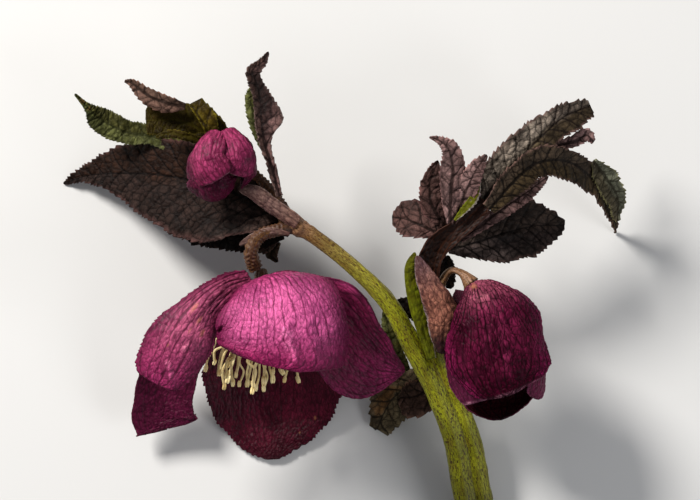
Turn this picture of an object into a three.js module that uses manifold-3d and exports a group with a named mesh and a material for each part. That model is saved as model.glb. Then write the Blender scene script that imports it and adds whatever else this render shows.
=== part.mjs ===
// A cut hellebore: one forked stem with an open flower, a bud, a half-open side flower and their toothed bracts,
// lying on a flat surface at z = 0 with its best side up. Millimetres, +Z up.
import * as THREE from "three";
import { mergeVertices } from "three/addons/utils/BufferGeometryUtils.js";
import Module from "manifold-3d";

const wasm = await Module();
wasm.setup();

// ---------------------------------------------------------------- driving dimensions

const LEAF_THICKNESS = 0.7;
const SEPAL_THICKNESS = 0.8;
const STEM_SIDES = 8;
// The room left between neighbouring pieces.
const GAP = 0.3;

// A blade is a list of sections along its midrib. Each section holds
// x, y, z of the midrib, the left and right half width, the roll about the midrib in degrees
// (0 faces straight up) and how far the left and right halves curl up in degrees (down if negative).
// "tip" is the share of the length over which the end is rounded off, and "fold" the angle in degrees
// at which both halves rise from the midrib.
const OPEN_SEPALS = {
  open_sepal_front: {
    tip: 0.1,
    rows: [
      [-21.4, -6.6, 35.5, 10, 9, 0, -25, -25],
      [-19.4, -7.5, 41.8, 15.6, 15.4, 0, -35, -35],
      [-17.8, -11.2, 47.4, 18.0, 18.4, 0, -50, -50],
      [-17.0, -16.0, 50.3, 19.2, 19.0, 0, -60, -60],
      [-16.8, -21.0, 51.2, 19.4, 19.4, 0, -60, -60],
      [-16.9, -25.2, 51.0, 18.6, 18.8, 0, -56, -56],
      [-17.5, -29.0, 50.4, 16.2, 16.2, 0, -46, -46],
    ],
  },
  open_sepal_left: {
    tip: 0.05,
    rows: [
      [-25.2, -6.6, 31.5, 2.4, 2.2, 0, -10, -10],
      [-30.3, -8.2, 37.0, 4.0, 2.8, 0, -30, -30],
      [-36.4, -13.2, 41.5, 6.0, 4.6, 0, -45, -45],
      [-41.4, -20.6, 43.2, 9.4, 7.6, 0, -42, -42],
      [-44.6, -27.8, 42.2, 7.6, 8.8, 0, -38, -40],
      [-47.2, -33.6, 40.4, 5.0, 6.6, 0, -20, -25],
    ],
  },
  open_sepal_lower_left: {
    tip: 0.03,
    rows: [
      [-24.5, -8.5, 28.0, 3, 3, 0, 0, 0],
      [-33.0, -16.5, 21.0, 5, 7, 0, 20, 20],
      [-41.5, -26.0, 14.5, 5.5, 9, 0, 20, 20],
      [-46.0, -35.0, 10.0, 6.8, 8.2, 0, 15, 20],
      [-47.4, -42.0, 7.8, 8.2, 8.2, 0, 10, 15],
      [-46.6, -45.6, 7.2, 8.8, 8.2, 0, 5, 10],
    ],
  },
  open_sepal_back: {
    tip: 0.03,
    rows: [
      [-22.0, -9.5, 26.5, 3, 3, 0, 0, 0],
      [-21.6, -15.5, 16.0, 11, 10, 0, 20, 20],
      [-20.8, -25.0, 7.5, 17, 16, 0, 25, 25],
      [-20.3, -34.3, 2.8, 18.8, 17.2, 0, 25, 25],
      [-20.1, -43.6, 0.5, 15.0, 13.6, 0, 20, 20],
      [-19.9, -49.6, 0.7, 9.4, 8.6, 0, 10, 10],
      [-19.6, -53.6, 1.5, 1.6, 1.6, 0, 10, 10],
    ],
  },
  open_sepal_right: {
    tip: 0.04,
    rows: [
      [-18.8, -7.4, 30.0, 2, 2.5, 0, 0, 0],
      [-13.0, -8.8, 33.0, 3.8, 6, 0, 50, 0],
      [-4.5, -14.2, 32.5, 8.2, 11, 0, 30, 10],
      [2.8, -22.0, 29.0, 6.0, 13.8, 0, 10, 10],
      [8.5, -27.5, 25.5, 3.8, 12.4, 0, 5, 5],
      [13.9, -30.7, 23.0, 0.6, 1.4, 0, 0, 0],
    ],
  },
};

const BUD_SEPALS = {
  bud_sepal_upper_left: {
    tip: 0.08,
    rows: [
      [-32.4, 29.0, 40.3, 1.2, 2.2, 0, -20, -30],
      [-33.8, 26.8, 43.2, 2.6, 5.0, 0, -15, -60],
      [-34.2, 23.4, 44.9, 3.0, 7.0, 0, -10, -75],
      [-33.2, 20.4, 44.9, 4.0, 7.8, 0, -10, -75],
      [-31.4, 17.6, 44.0, 3.2, 6.8, 0, -10, -50],
    ],
  },
  bud_sepal_upper_right: {
    tip: 0.1,
    rows: [
      [-30.4, 29.4, 40.0, 1.8, 1.2, 0, -30, -20],
      [-29.0, 27.0, 42.6, 4.4, 3.4, 0, -65, -10],
      [-28.0, 23.6, 43.9, 6.4, 4.6, 0, -80, -10],
      [-28.0, 20.4, 43.5, 6.6, 3.8, 0, -75, -10],
      [-29.0, 17.0, 42.0, 4.6, 1.6, 0, -40, -10],
    ],
  },
  bud_sepal_lower: {
    tip: 0.12,
    rows: [
      [-34.2, 22.0, 39.0, 3.4, 4.4, 0, -50, -60],
      [-34.2, 18.8, 41.6, 6.6, 7.2, 0, -60, -65],
      [-33.8, 15.8, 41.6, 7.6, 7.8, 0, -60, -65],
      [-33.0, 13.4, 39.4, 7.0, 6.8, 0, -60, -60],
      [-32.4, 12.2, 36.0, 4.6, 4.6, 0, -40, -40],
    ],
  },
  bud_sepal_right: {
    tip: 0.2,
    rows: [
      [-28.2, 27.5, 38.0, 1.6, 1.6, 80, -10, -10],
      [-24.6, 23.5, 38.4, 4.0, 4.0, 80, -40, -40],
      [-23.6, 18.5, 38.4, 4.4, 4.4, 80, -45, -45],
      [-26.4, 14.2, 38.4, 2.8, 2.8, 80, -30, -30],
    ],
  },
  bud_sepal_left: {
    tip: 0.2,
    rows: [
      [-36.4, 27.0, 38.0, 1.6, 1.6, -80, -10, -10],
      [-39.6, 22.8, 38.4, 4.0, 4.0, -80, -40, -40],
      [-40.0, 18.0, 38.4, 4.4, 4.4, -80, -45, -45],
      [-37.4, 14.6, 38.4, 2.8, 2.8, -80, -30, -30],
    ],
  },
};

const SIDE_SEPALS = {
  side_sepal_front: {
    tip: 0.06,
    rows: [
      [31.2, -8.0, 33.0, 4, 3, 0, -30, -30],
      [32.4, -10.2, 37.0, 12, 8.5, 0, -60, -60],
      [34.2, -15.4, 40.6, 16.5, 13, 0, -72, -72],
      [35.4, -21.5, 41.7, 17, 15.8, 0, -75, -75],
      [36.2, -27.5, 41.6, 17.2, 15.2, 0, -72, -70],
      [37.2, -32.6, 41.0, 15.6, 10.8, 0, -60, -50],
      [38.2, -35.9, 40.3, 11.6, 6.4, 0, -42, -36],
    ],
  },
  side_sepal_left: {
    tip: 0.06,
    rows: [
      [27.4, -10.0, 29.0, 2, 2, -55, -10, -10],
      [25.6, -17.0, 29.5, 5, 4, -55, -30, -30],
      [26.2, -25.0, 30.0, 6.5, 5.5, -50, -30, -30],
      [28.6, -32.6, 30.5, 6.5, 5.5, -38, -20, -20],
      [31.0, -39.4, 30.5, 2.4, 1.8, -30, 0, 0],
    ],
  },
  side_sepal_back: {
    tip: 0.2,
    rows: [
      [30.5, -11.5, 25.5, 2.5, 2.5, 0, 20, 20],
      [33.5, -20.0, 20.0, 8, 7.5, 0, 30, 30],
      [36.0, -30.0, 18.0, 12, 9.5, 0, 35, 35],
      [37.4, -37.5, 20.0, 11, 9.5, 0, 30, 30],
      [38.2, -42.6, 24.0, 7.5, 7.5, 0, 20, 20],
    ],
  },
  side_sepal_right: {
    tip: 0.2,
    rows: [
      [35.6, -10.6, 29.0, 2, 2, 70, -10, -10],
      [44.0, -16.5, 29.5, 5, 5, 75, -30, -30],
      [47.4, -25.0, 30.0, 6, 6.5, 80, -30, -30],
      [47.8, -32.0, 30.5, 5.5, 6, 70, -20, -20],
      [46.4, -37.4, 31.0, 4.0, 4.5, 50, -10, -10],
    ],
  },
};

const LEFT_BRACT = {
  left_bract_large: {
    tip: 0.02,
    fold: 8,
    rows: [
      [-13.8, 5.8, 31.0, 3.0, 2.2, 0, 30, 30],
      [-22.0, 11.3, 31.0, 8.6, 3.8, 0, 15, 10],
      [-31.2, 15.0, 26.5, 13.8, 10, 0, 0, 0],
      [-40.5, 17.6, 22.5, 14.2, 9.4, 0, -5, -5],
      [-50.5, 19.2, 15.5, 10.6, 9.2, 0, -10, -10],
      [-60.5, 19.5, 7.5, 4.6, 6.0, 0, -10, -10],
      [-67.0, 19.0, 3.0, 1.6, 2.8, 0, 0, 0],
      [-73.8, 17.1, 0.42, 0.3, 0.3, 0, 0, 0],
    ],
  },
  left_bract_lower_lobe: {
    tip: 0.1,
    rows: [
      [-16.5, 4.2, 28.0, 1.5, 1.5, 0, 0, 0],
      [-25.0, 3.6, 25.0, 3.8, 4, 0, 0, 0],
      [-34.0, 3.9, 20.5, 3, 5, 0, 0, 0],
      [-41.2, 2.4, 16.5, 0.6, 0.6, 0, 0, 0],
    ],
  },
  left_bract_green_lobe: {
    tip: 0.02,
    rows: [
      [-17.0, 9.0, 28.0, 1.2, 1.2, 0, 0, 0],
      [-32.0, 19.5, 23.0, 3.0, 3.2, 0, 0, 0],
      [-48.0, 28.0, 18.0, 2.0, 2.3, 0, 10, 10],
      [-56.5, 29.8, 17.0, 3.0, 3.0, 0, 10, 10],
      [-63.0, 33.0, 18.0, 3.0, 3.0, 0, -20, -20],
      [-66.2, 36.0, 20.0, 0.9, 1.0, 0, 0, 0],
      [-69.3, 39.3, 22.0, 0.3, 0.3, 0, 0, 0],
    ],
  },
  left_bract_olive_lobe: {
    tip: 0.05,
    rows: [
      [-29.0, 24.0, 31.0, 1.5, 1.5, 0, 0, 0],
      [-36.0, 29.2, 33.0, 3, 5.5, 0, 0, 0],
      [-42.3, 32.2, 34.0, 3.8, 4.2, 0, 0, 0],
      [-47.3, 32.3, 33.5, 3.9, 3.6, 0, 0, 0],
      [-50.8, 32.2, 33.0, 3.4, 3.2, 0, 0, 0],
    ],
  },
  left_bract_olive_flap: {
    tip: 0.02,
    rows: [
      [-34.0, 26.5, 36.0, 0.6, 1.5, 0, 0, 0],
      [-36.4, 31.5, 37.0, 0.6, 3.6, 0, 0, 0],
      [-39.5, 36.3, 36.5, 0.6, 2.6, 0, 0, 0],
    ],
  },
  left_bract_olive_tip: {
    tip: 0.01,
    rows: [
      [-41.2, 36.2, 37.0, 0.6, 0.6, 0, 0, 0],
      [-47.0, 37.0, 38.0, 1.7, 1.4, 0, 0, 0],
      [-51.2, 38.6, 37.5, 2.2, 1.3, 0, 0, 0],
      [-54.6, 40.8, 36.0, 0.6, 0.6, 0, 0, 0],
    ],
  },
  left_bract_strip_lobe: {
    tip: 0.1,
    rows: [
      [-34.0, 26.0, 33.0, 0.8, 0.8, 0, 0, 0],
      [-40.0, 28.0, 35.5, 0.9, 0.9, 0, 0, 0],
      [-44.5, 28.8, 36.0, 0.9, 0.9, 0, 0, 0],
      [-48.3, 28.0, 35.5, 0.5, 0.5, 0, 0, 0],
    ],
  },
  twisted_bract: {
    tip: 0.03,
    rows: [
      [-17.5, 13.5, 36.0, 1.1, 1.1, 0, 60, 60],
      [-19.3, 20.5, 38.0, 1.1, 1.1, 0, 60, 60],
      [-21.2, 27.0, 39.0, 1.4, 1.8, 0, 40, 30],
      [-21.8, 32.0, 39.5, 1.6, 5.4, 0, 10, 10],
      [-22.2, 37.0, 39.0, 1.6, 3.2, 0, 10, 10],
      [-23.2, 41.4, 38.0, 1.9, 1.5, 0, 30, 30],
      [-24.2, 44.4, 37.4, 1.2, 2.4, 0, 30, 30],
      [-21.6, 46.6, 36.5, 1.0, 1.0, 0, 30, 30],
      [-20.2, 49.2, 36.0, 0.3, 0.3, 0, 0, 0],
    ],
  },
  twisted_bract_back: {
    tip: 0.1,
    rows: [
      [-20.4, 22.5, 36.5, 0.5, 0.5, 0, 0, 0],
      [-23.3, 30.5, 36.5, 1.2, 1.5, 0, 0, 0],
      [-24.6, 37.0, 36.5, 1.3, 1.5, 0, 0, 0],
      [-24.3, 40.5, 36.5, 0.6, 0.6, 0, 0, 0],
    ],
  },
  left_sheath: {
    tip: 0.15,
    rows: [
      [-13.5, 7.0, 35.5, 1.5, 1.5, 0, -40, -40],
      [-18.7, 10.7, 37.5, 2.4, 2.4, 0, -40, -40],
      [-23.0, 14.0, 38.5, 2.4, 3.2, 0, -30, -30],
      [-28.0, 15.0, 38.5, 3.0, 3.5, 0, -20, -20],
    ],
  },
  left_sheath_lip: {
    tip: 0.1,
    rows: [
      [-15.0, 4.0, 35.5, 0.5, 0.5, 0, 0, 0],
      [-19.5, 4.7, 36.5, 0.9, 0.9, 0, 0, 0],
      [-23.8, 3.4, 35.0, 0.9, 0.9, 0, 0, 0],
      [-27.5, 1.2, 31.5, 0.5, 0.5, 0, 0, 0],
    ],
  },
  left_small_leaf: {
    tip: 0.1,
    rows: [
      [-18.5, 2.5, 25.0, 0.8, 0.8, 0, 0, 0],
      [-21.5, 1.2, 22.5, 2, 2, 0, 0, 0],
      [-25.3, 0.6, 20.0, 0.5, 0.5, 0, 0, 0],
    ],
  },
  left_small_leaf_tip: {
    tip: 0.1,
    rows: [
      [-18.0, 2.0, 23.0, 0.7, 0.7, 0, 0, 0],
      [-19.8, -0.8, 21.0, 1.4, 1.4, 0, 0, 0],
      [-18.3, -3.0, 19.0, 0.4, 0.4, 0, 0, 0],
    ],
  },
};

const RIGHT_BRACT = {
  right_sheath: {
    tip: 0.05,
    rows: [
      [23.2, -25.6, 27.5, 1.2, 1.2, 0, -60, -60],
      [22.8, -22.4, 31.0, 3.4, 3.4, 0, -60, -60],
      [23.3, -18.0, 33.8, 5.2, 5.2, 0, -70, -70],
      [22.0, -13.8, 34.8, 4.2, 4.6, 0, -65, -60],
      [19.9, -9.6, 35.4, 2.8, 3.4, 0, -45, -35],
      [18.0, -5.4, 36.0, 1.8, 2.2, 0, -30, -20],
      [16.4, -1.4, 36.0, 0.5, 0.5, 0, -20, -20],
    ],
  },
  right_sheath_back: {
    tip: 0.05,
    rows: [
      [19.2, -23.4, 26.0, 2.4, 1.6, 0, 0, 0],
      [17.4, -17.0, 28.8, 2.1, 2.4, 0, -20, -20],
      [15.4, -10.4, 31.3, 1.9, 2.5, 0, -20, -20],
      [14.6, -5.4, 33.0, 1.5, 2.0, 0, -20, -20],
      [15.8, -1.2, 34.5, 0.4, 0.4, 0, 0, 0],
    ],
  },
  right_petiole: {
    tip: 0.05,
    rows: [
      [21.3, -9.6, 26.6, 3.0, 1.2, 0, 40, 40],
      [21.0, -4.4, 29.3, 4.4, 2.2, 0, 50, 50],
      [23.0, 1.2, 31.5, 4.2, 2.6, 0, 50, 50],
      [28.5, 6.8, 33.5, 2.8, 2.8, 0, 40, 40],
      [33.5, 12.0, 34.5, 3.5, 3.0, 0, 20, 20],
    ],
  },
  right_lobe_upper: {
    tip: 0.03,
    fold: 8,
    rows: [
      [30.0, 9.0, 31.0, 2.0, 1.5, 0, 0, 0],
      [35.5, 15.5, 33.0, 5, 4, 0, 10, 10],
      [40.5, 21.0, 34.0, 6, 5.5, 0, 0, 0],
      [46.5, 27.2, 33.0, 4.8, 3.6, 0, 0, 0],
      [53.2, 33.0, 29.5, 3.5, 4.2, 0, 0, 0],
      [60.3, 36.2, 25.0, 1.8, 3.0, 0, 0, 0],
    ],
  },
  right_lobe_arching: {
    tip: 0.01,
    fold: 6,
    rows: [
      [34.5, 10.2, 36.5, 2.0, 2.0, 0, 0, 0],
      [41.0, 17.5, 38.5, 3.5, 3.5, 0, 0, 0],
      [47.0, 21.8, 38.5, 3.5, 3.7, 0, 0, 0],
      [55.0, 21.6, 33.0, 2.8, 4.2, 0, 0, 0],
      [61.9, 16.6, 22.0, 2.5, 2.8, 0, 0, 0],
      [66.3, 10.0, 10.0, 1.6, 1.6, 0, 0, 0],
      [68.4, 4.3, 0.25, 0.3, 0.3, 0, 0, 0],
    ],
  },
  right_lobe_flap: {
    tip: 0.01,
    rows: [
      [60.8, 22.2, 28.5, 1.0, 1.0, 0, 0, 0],
      [64.2, 18.2, 23.5, 2.4, 3, 0, 0, 0],
      [67.6, 13.2, 16.5, 2.0, 2.6, 0, 0, 0],
      [68.2, 7.4, 9.0, 0.5, 0.5, 0, 0, 0],
    ],
  },
  right_curled_scrap: {
    tip: 0.02,
    rows: [
      [51.0, 26.0, 29.0, 0.8, 0.8, 0, 0, 0],
      [55.5, 27.0, 28.5, 1.4, 1.2, 0, 0, 0],
      [59.0, 28.6, 28.0, 1.6, 1.4, 0, 0, 0],
      [60.8, 27.0, 27.0, 0.6, 0.6, 0, 0, 0],
    ],
  },
  right_lobe_lower: {
    tip: 0.15,
    fold: 6,
    rows: [
      [24.5, 0.0, 27.5, 1.2, 1.2, 0, 30, 30],
      [31.2, 1.8, 26.5, 3, 4.6, 0, 10, 10],
      [38.8, 4.2, 24.5, 7, 7.2, 0, 0, 0],
      [46.3, 6.0, 21.5, 6, 6.6, 0, 0, 0],
      [54.0, 6.2, 18.0, 2.5, 2.5, 0, 0, 0],
    ],
  },
  right_strip: {
    tip: 0.1,
    rows: [
      [27.5, 2.6, 31.0, 0.9, 0.9, 0, 0, 0],
      [37.5, 9.8, 31.5, 1.5, 1.9, 0, 0, 0],
      [43.8, 14.2, 32.5, 1.5, 1.9, 0, 0, 0],
      [49.4, 18.4, 33.0, 0.5, 0.5, 0, 0, 0],
    ],
  },
  right_lobe_round: {
    tip: 0.3,
    rows: [
      [22.5, 4.0, 29.0, 1.2, 1.2, 0, 0, 0],
      [18.5, 5.8, 29.0, 3.2, 4.6, 0, 0, 0],
      [14.5, 7.6, 27.5, 4.2, 5.0, 0, 0, 0],
      [10.6, 8.2, 25.5, 2.6, 2.6, 0, 0, 0],
    ],
  },
  right_lobe_inner: {
    tip: 0.1,
    rows: [
      [23.5, 6.0, 31.5, 1.2, 1.2, 0, 0, 0],
      [20.5, 11.0, 33.5, 2.6, 3.0, 0, 0, 0],
      [19.8, 16.5, 34.5, 2.2, 2.8, 0, 0, 0],
      [21.8, 22.3, 35.0, 0.6, 0.6, 0, 0, 0],
    ],
  },
  right_lobe_tall: {
    tip: 0.01,
    fold: -8,
    rows: [
      [24.8, 6.5, 34.0, 0.8, 0.8, 0, 0, 0],
      [24.9, 13.5, 37.0, 2.4, 2.4, 0, 0, 0],
      [25.4, 19.8, 38.5, 2.9, 3.0, 0, 0, 0],
      [24.6, 24.4, 38.5, 1.7, 2.6, 0, 0, 0],
      [22.6, 26.8, 37.6, 0.9, 1.2, 0, 0, 0],
      [19.6, 28.0, 37.0, 0.25, 0.25, 0, 0, 0],
    ],
  },
  right_lobe_third: {
    tip: 0.01,
    rows: [
      [25.8, 6.8, 33.5, 0.8, 0.8, 0, 0, 0],
      [28.3, 13.5, 36.6, 2.0, 2.2, 0, 0, 0],
      [30.8, 19.2, 38.4, 2.4, 2.0, 0, 0, 0],
      [33.8, 23.6, 38.8, 0.4, 0.4, 0, 0, 0],
    ],
  },
  right_green_margin: {
    tip: 0.02,
    rows: [
      [26.0, 7.4, 35.5, 0.4, 0.4, 0, 0, 0],
      [28.4, 10.4, 36.5, 0.7, 1.0, 0, 0, 0],
      [30.6, 13.4, 37.0, 0.6, 1.3, 0, 0, 0],
      [32.2, 17.2, 37.4, 0.25, 0.25, 0, 0, 0],
    ],
  },
  right_dark_lobe: {
    tip: 0.1,
    rows: [
      [24.0, -1.5, 23.5, 1.0, 1.0, 0, 0, 0],
      [24.2, -5.5, 20.5, 2.4, 2.2, 0, 0, 0],
      [25.5, -9.8, 18.0, 0.6, 0.6, 0, 0, 0],
    ],
  },
};

const REAR_BRACT = {
  rear_lobe_lower: {
    tip: 0.02,
    rows: [
      [22.0, -28.0, 11.5, 1.5, 1.5, 0, 0, 0],
      [16.5, -33.5, 9.0, 3.0, 3.0, 0, 0, 0],
      [10.5, -38.5, 5.5, 5.5, 5.0, 0, 0, 0],
      [6.8, -46.2, 2.0, 2.6, 1.8, 0, 0, 0],
    ],
  },
  rear_lobe_brown: {
    tip: 0.2,
    rows: [
      [23.5, -33.0, 13.6, 1.5, 1.5, 0, 0, 0],
      [19.5, -36.0, 12.8, 4.6, 3.0, 0, 10, 10],
      [15.5, -37.5, 12.0, 4.6, 3.6, 0, 10, 10],
      [12.6, -37.6, 11.5, 3.0, 2.0, 0, 10, 10],
    ],
  },
  rear_lobe_green: {
    tip: 0.1,
    rows: [
      [14.6, -30.5, 17.0, 0.8, 0.8, 0, 0, 0],
      [11.5, -25.5, 17.5, 1.6, 1.8, 0, 0, 0],
      [9.8, -20.5, 18.0, 1.5, 1.5, 0, 0, 0],
      [8.8, -14.5, 18.0, 0.5, 0.5, 0, 0, 0],
    ],
  },
  rear_lobe_dark: {
    tip: 0.1,
    rows: [
      [21.0, -20.0, 20.5, 1.0, 1.0, 0, 0, 0],
      [16.0, -15.0, 22.0, 2.4, 2.4, 0, 0, 0],
      [11.5, -12.8, 22.0, 0.6, 0.6, 0, 0, 0],
    ],
  },
};

// A stem is a list of x, y, z and radius.
const STEMS = {
  main: [
    [33.5, -82.0, 3.1, 3.1],
    [29.2, -62.5, 7.5, 2.9],
    [26.4, -48.0, 12.5, 2.85],
    [21.8, -36.0, 18.0, 2.8],
    [15.2, -23.0, 24.0, 2.65],
    [8.8, -12.2, 28.0, 2.3],
    [-1.2, -2.6, 31.3, 2.0],
    [-9.8, 4.0, 32.3, 2.0],
    [-13.2, 6.0, 32.6, 2.5],
    [-17.0, 8.8, 33.0, 1.6],
  ],
  side: [
    [38.0, -82.0, 2.6, 2.6],
    [33.9, -62.5, 7.3, 2.4],
    [31.0, -48.0, 12.0, 2.3],
    [26.4, -36.0, 17.5, 2.1],
    [22.2, -26.5, 21.5, 2.0],
    [21.5, -20.0, 24.5, 2.0],
    [22.5, -14.0, 26.0, 1.6],
    [24.2, -7.6, 27.5, 1.3],
    [26.4, -4.4, 28.6, 1.1],
    [28.8, -5.6, 29.4, 1.2],
    [30.3, -8.4, 29.8, 2.0],
  ],
  open_flower: [
    [-14.0, 5.6, 33.0, 1.5],
    [-18.0, 5.0, 34.4, 1.6],
    [-22.4, 3.4, 35.2, 1.65],
    [-24.6, -0.5, 34.4, 1.7],
    [-23.6, -4.6, 31.8, 1.8],
  ],
  bud: [
    [-15.0, 8.0, 33.0, 1.4],
    [-19.0, 14.0, 33.0, 1.3],
    [-25.0, 20.5, 33.8, 1.2],
    [-29.0, 26.5, 36.5, 1.2],
    [-31.0, 29.2, 37.5, 1.4],
  ],
};

// A flower's hidden core is a short solid on its axis, and everything else in the middle hangs from it.
const RECEPTACLE = { centre: [-22, -7, 30], radius: 1.9, depth: 2.6 };
const SIDE_RECEPTACLE = { centre: [30.2, -9.6, 29.6], radius: 1.9, depth: 2.4 };
const STAMEN = { radius: 0.42, antherRadius: 0.95, antherLength: 3.4 };
const DISC = { radius: 2.5, depth: 1.0 };

// The stamens that hang out below the open flower, by the x, y, z of their anthers.
const LONG_STAMENS = [
  [-35.4, -29.6, 30.0],
  [-34.0, -32.0, 27.0],
  [-32.2, -32.2, 23.0],
  [-30.4, -31.4, 31.0],
  [-28.4, -34.4, 28.0],
  [-26.8, -33.8, 22.0],
  [-25.0, -34.6, 30.0],
  [-22.6, -32.4, 34.0],
  [-20.4, -33.4, 26.0],
  [-18.4, -33.0, 31.0],
  [-16.0, -32.6, 24.0],
  [-12.6, -31.0, 29.0],
];
const SHORT_STAMENS = 8;
const NECTARY = { count: 9, radius: 0.9, length: 4.5 };
const CARPEL = { count: 3, radius: 0.9, length: 12 };

// ---------------------------------------------------------------- shapes

// The value at t of a smooth curve through one column of a list of sections.
function along(rows, column, t) {
  const last = rows.length - 1;
  const place = Math.min(t * last, last - 1e-9);
  const i = Math.floor(place);
  const f = place - i;
  const b = rows[i][column];
  const c = rows[i + 1][column];
  const a = i > 0 ? rows[i - 1][column] : 2 * b - c;
  const d = i + 2 <= last ? rows[i + 2][column] : 2 * c - b;
  return b + 0.5 * f * (c - a + f * (2 * a - 5 * b + 4 * c - d + f * (3 * (b - c) + d - a)));
}

const pointAt = (rows, t) => new THREE.Vector3(...[0, 1, 2].map((column) => along(rows, column, t)));

function tangentAt(rows, t) {
  const step = 0.01;
  return pointAt(rows, Math.min(1, t + step)).sub(pointAt(rows, Math.max(0, t - step))).normalize();
}

// Rightward vectors along a curve that turn no more than the curve does. Halfway along, it faces straight up.
const FRAMES = 64;
function rightVectors(rows) {
  const square = (vector, tangent) => vector.clone().addScaledVector(tangent, -vector.dot(tangent)).normalize();
  const middle = tangentAt(rows, 0.5);
  const found = new Array(FRAMES + 1);
  found[FRAMES / 2] = new THREE.Vector3(middle.y, -middle.x, 0).normalize();
  for (let i = FRAMES / 2 + 1; i <= FRAMES; i++) found[i] = square(found[i - 1], tangentAt(rows, i / FRAMES));
  for (let i = FRAMES / 2 - 1; i >= 0; i--) found[i] = square(found[i + 1], tangentAt(rows, i / FRAMES));
  return found;
}

function rightAt(vectors, t) {
  const place = Math.min(t * FRAMES, FRAMES - 1e-9);
  const i = Math.floor(place);
  return vectors[i].clone().lerp(vectors[i + 1], place - i).normalize();
}

// How much of its full width a blade has at t.
function taper(blade, t) {
  const share = blade.tip ? Math.max(0, (t - 1 + blade.tip) / blade.tip) : 0;
  return Math.sqrt(Math.max(0.01, 1 - share * share));
}

// A point of a blade's middle surface: t runs along it, v across it from -1 to 1.
function bladePoint(blade, t, v, grow) {
  blade.rights ??= rightVectors(blade.rows);
  const tangent = tangentAt(blade.rows, t);
  const right = rightAt(blade.rights, t).applyAxisAngle(tangent, -THREE.MathUtils.degToRad(along(blade.rows, 5, t)));
  const up = new THREE.Vector3().crossVectors(right, tangent);
  const half = Math.max(0.2, along(blade.rows, v < 0 ? 3 : 4, t)) * taper(blade, t) + grow;
  const curl = THREE.MathUtils.degToRad(along(blade.rows, v < 0 ? 6 : 7, t)) || 1e-4;
  const rise = THREE.MathUtils.degToRad(blade.fold ?? 0);
  const turned = rise + curl * Math.abs(v);
  const beyond = t <= 0 ? -grow : t >= 1 ? grow : 0;
  return pointAt(blade.rows, t)
    .addScaledVector(tangent, beyond)
    .addScaledVector(right, (half / curl) * (Math.sin(turned) - Math.sin(rise)) * Math.sign(v))
    .addScaledVector(up, (half / curl) * (Math.cos(rise) - Math.cos(turned)));
}

// A box bent into a thin solid that follows a blade, made larger all round by "grow".
function sheetGeometry(blade, thickness, lengthSteps, widthSteps, grow = 0) {
  const surface = (t, v) => bladePoint(blade, t, v, grow);
  const geometry = new THREE.BoxGeometry(1, 1, 1, lengthSteps, widthSteps, 1);
  const position = geometry.attributes.position;
  for (let i = 0; i < position.count; i++) {
    const t = position.getX(i) + 0.5;
    const v = position.getY(i) * 2;
    const lengthwise = surface(Math.min(0.999, t + 0.01), v).sub(surface(Math.max(0.001, t - 0.01), v));
    const crosswise = surface(t, Math.min(1, v + 0.05)).sub(surface(t, Math.max(-1, v - 0.05)));
    const normal = crosswise.cross(lengthwise).normalize();
    const point = surface(t, v).addScaledVector(normal, position.getZ(i) * (thickness + 2 * grow));
    position.setXYZ(i, point.x, point.y, point.z);
  }
  return flipped(geometry);
}

// The box's axes make a left-handed set once bent, so each triangle is turned over.
function flipped(geometry) {
  const index = geometry.index;
  for (let i = 0; i < index.count; i += 3) {
    const b = index.getX(i + 1);
    index.setX(i + 1, index.getX(i + 2));
    index.setX(i + 2, b);
  }
  return geometry;
}

// A cylinder bent along a list of x, y, z and radius.
function stemGeometry(rows, lengthSteps, sides = STEM_SIDES, grow = 0) {
  const geometry = new THREE.CylinderGeometry(1, 1, 1, sides, lengthSteps);
  const position = geometry.attributes.position;
  const rights = rightVectors(rows);
  for (let i = 0; i < position.count; i++) {
    const t = position.getY(i) + 0.5;
    const right = rightAt(rights, t);
    const up = new THREE.Vector3().crossVectors(right, tangentAt(rows, t));
    const radius = along(rows, 3, t) + grow;
    const beyond = t <= 0 ? -grow : t >= 1 ? grow : 0;
    const point = pointAt(rows, t)
      .addScaledVector(tangentAt(rows, t), beyond)
      .addScaledVector(right, position.getX(i) * radius)
      .addScaledVector(up, position.getZ(i) * radius);
    position.setXYZ(i, point.x, point.y, point.z);
  }
  return geometry;
}

// ---------------------------------------------------------------- joins with manifold-3d

function solidOf(geometry) {
  const bare = geometry.clone();
  bare.deleteAttribute("normal");
  bare.deleteAttribute("uv");
  const merged = mergeVertices(bare, 1e-3);
  const mesh = { numProp: 3, vertProperties: merged.attributes.position.array };
  return new wasm.Manifold(new wasm.Mesh({ ...mesh, triVerts: new Uint32Array(merged.index.array) }));
}

function geometryOf(solid) {
  const mesh = solid.getMesh();
  return new THREE.BufferGeometry()
    .setAttribute("position", new THREE.BufferAttribute(mesh.vertProperties, 3))
    .setIndex(new THREE.BufferAttribute(mesh.triVerts, 1));
}

const joined = (geometries) => wasm.Manifold.union(geometries.map(solidOf));

// Everything placed so far, each with a copy grown by the gap that later pieces must leave.
const placed = [];
const touching = (a, b) => [0, 1, 2].every((k) => a.min[k] < b.max[k] && b.min[k] < a.max[k]);

// A solid with room cut out of it for the earlier pieces it would run into. Only its largest part is kept.
function clearOf(solid) {
  let result = solid;
  for (const { grown, box } of placed) {
    if (touching(result.boundingBox(), box)) result = result.subtract(grown);
  }
  return result.decompose().sort((a, b) => b.volume() - a.volume())[0];
}

// ---------------------------------------------------------------- the plant

const plant = new THREE.Group();

function addSolid(name, solid, grown, material) {
  const clear = clearOf(solid);
  placed.push({ grown, box: grown.boundingBox() });
  const mesh = new THREE.Mesh(geometryOf(clear), material);
  mesh.name = name;
  plant.add(mesh);
}

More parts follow.
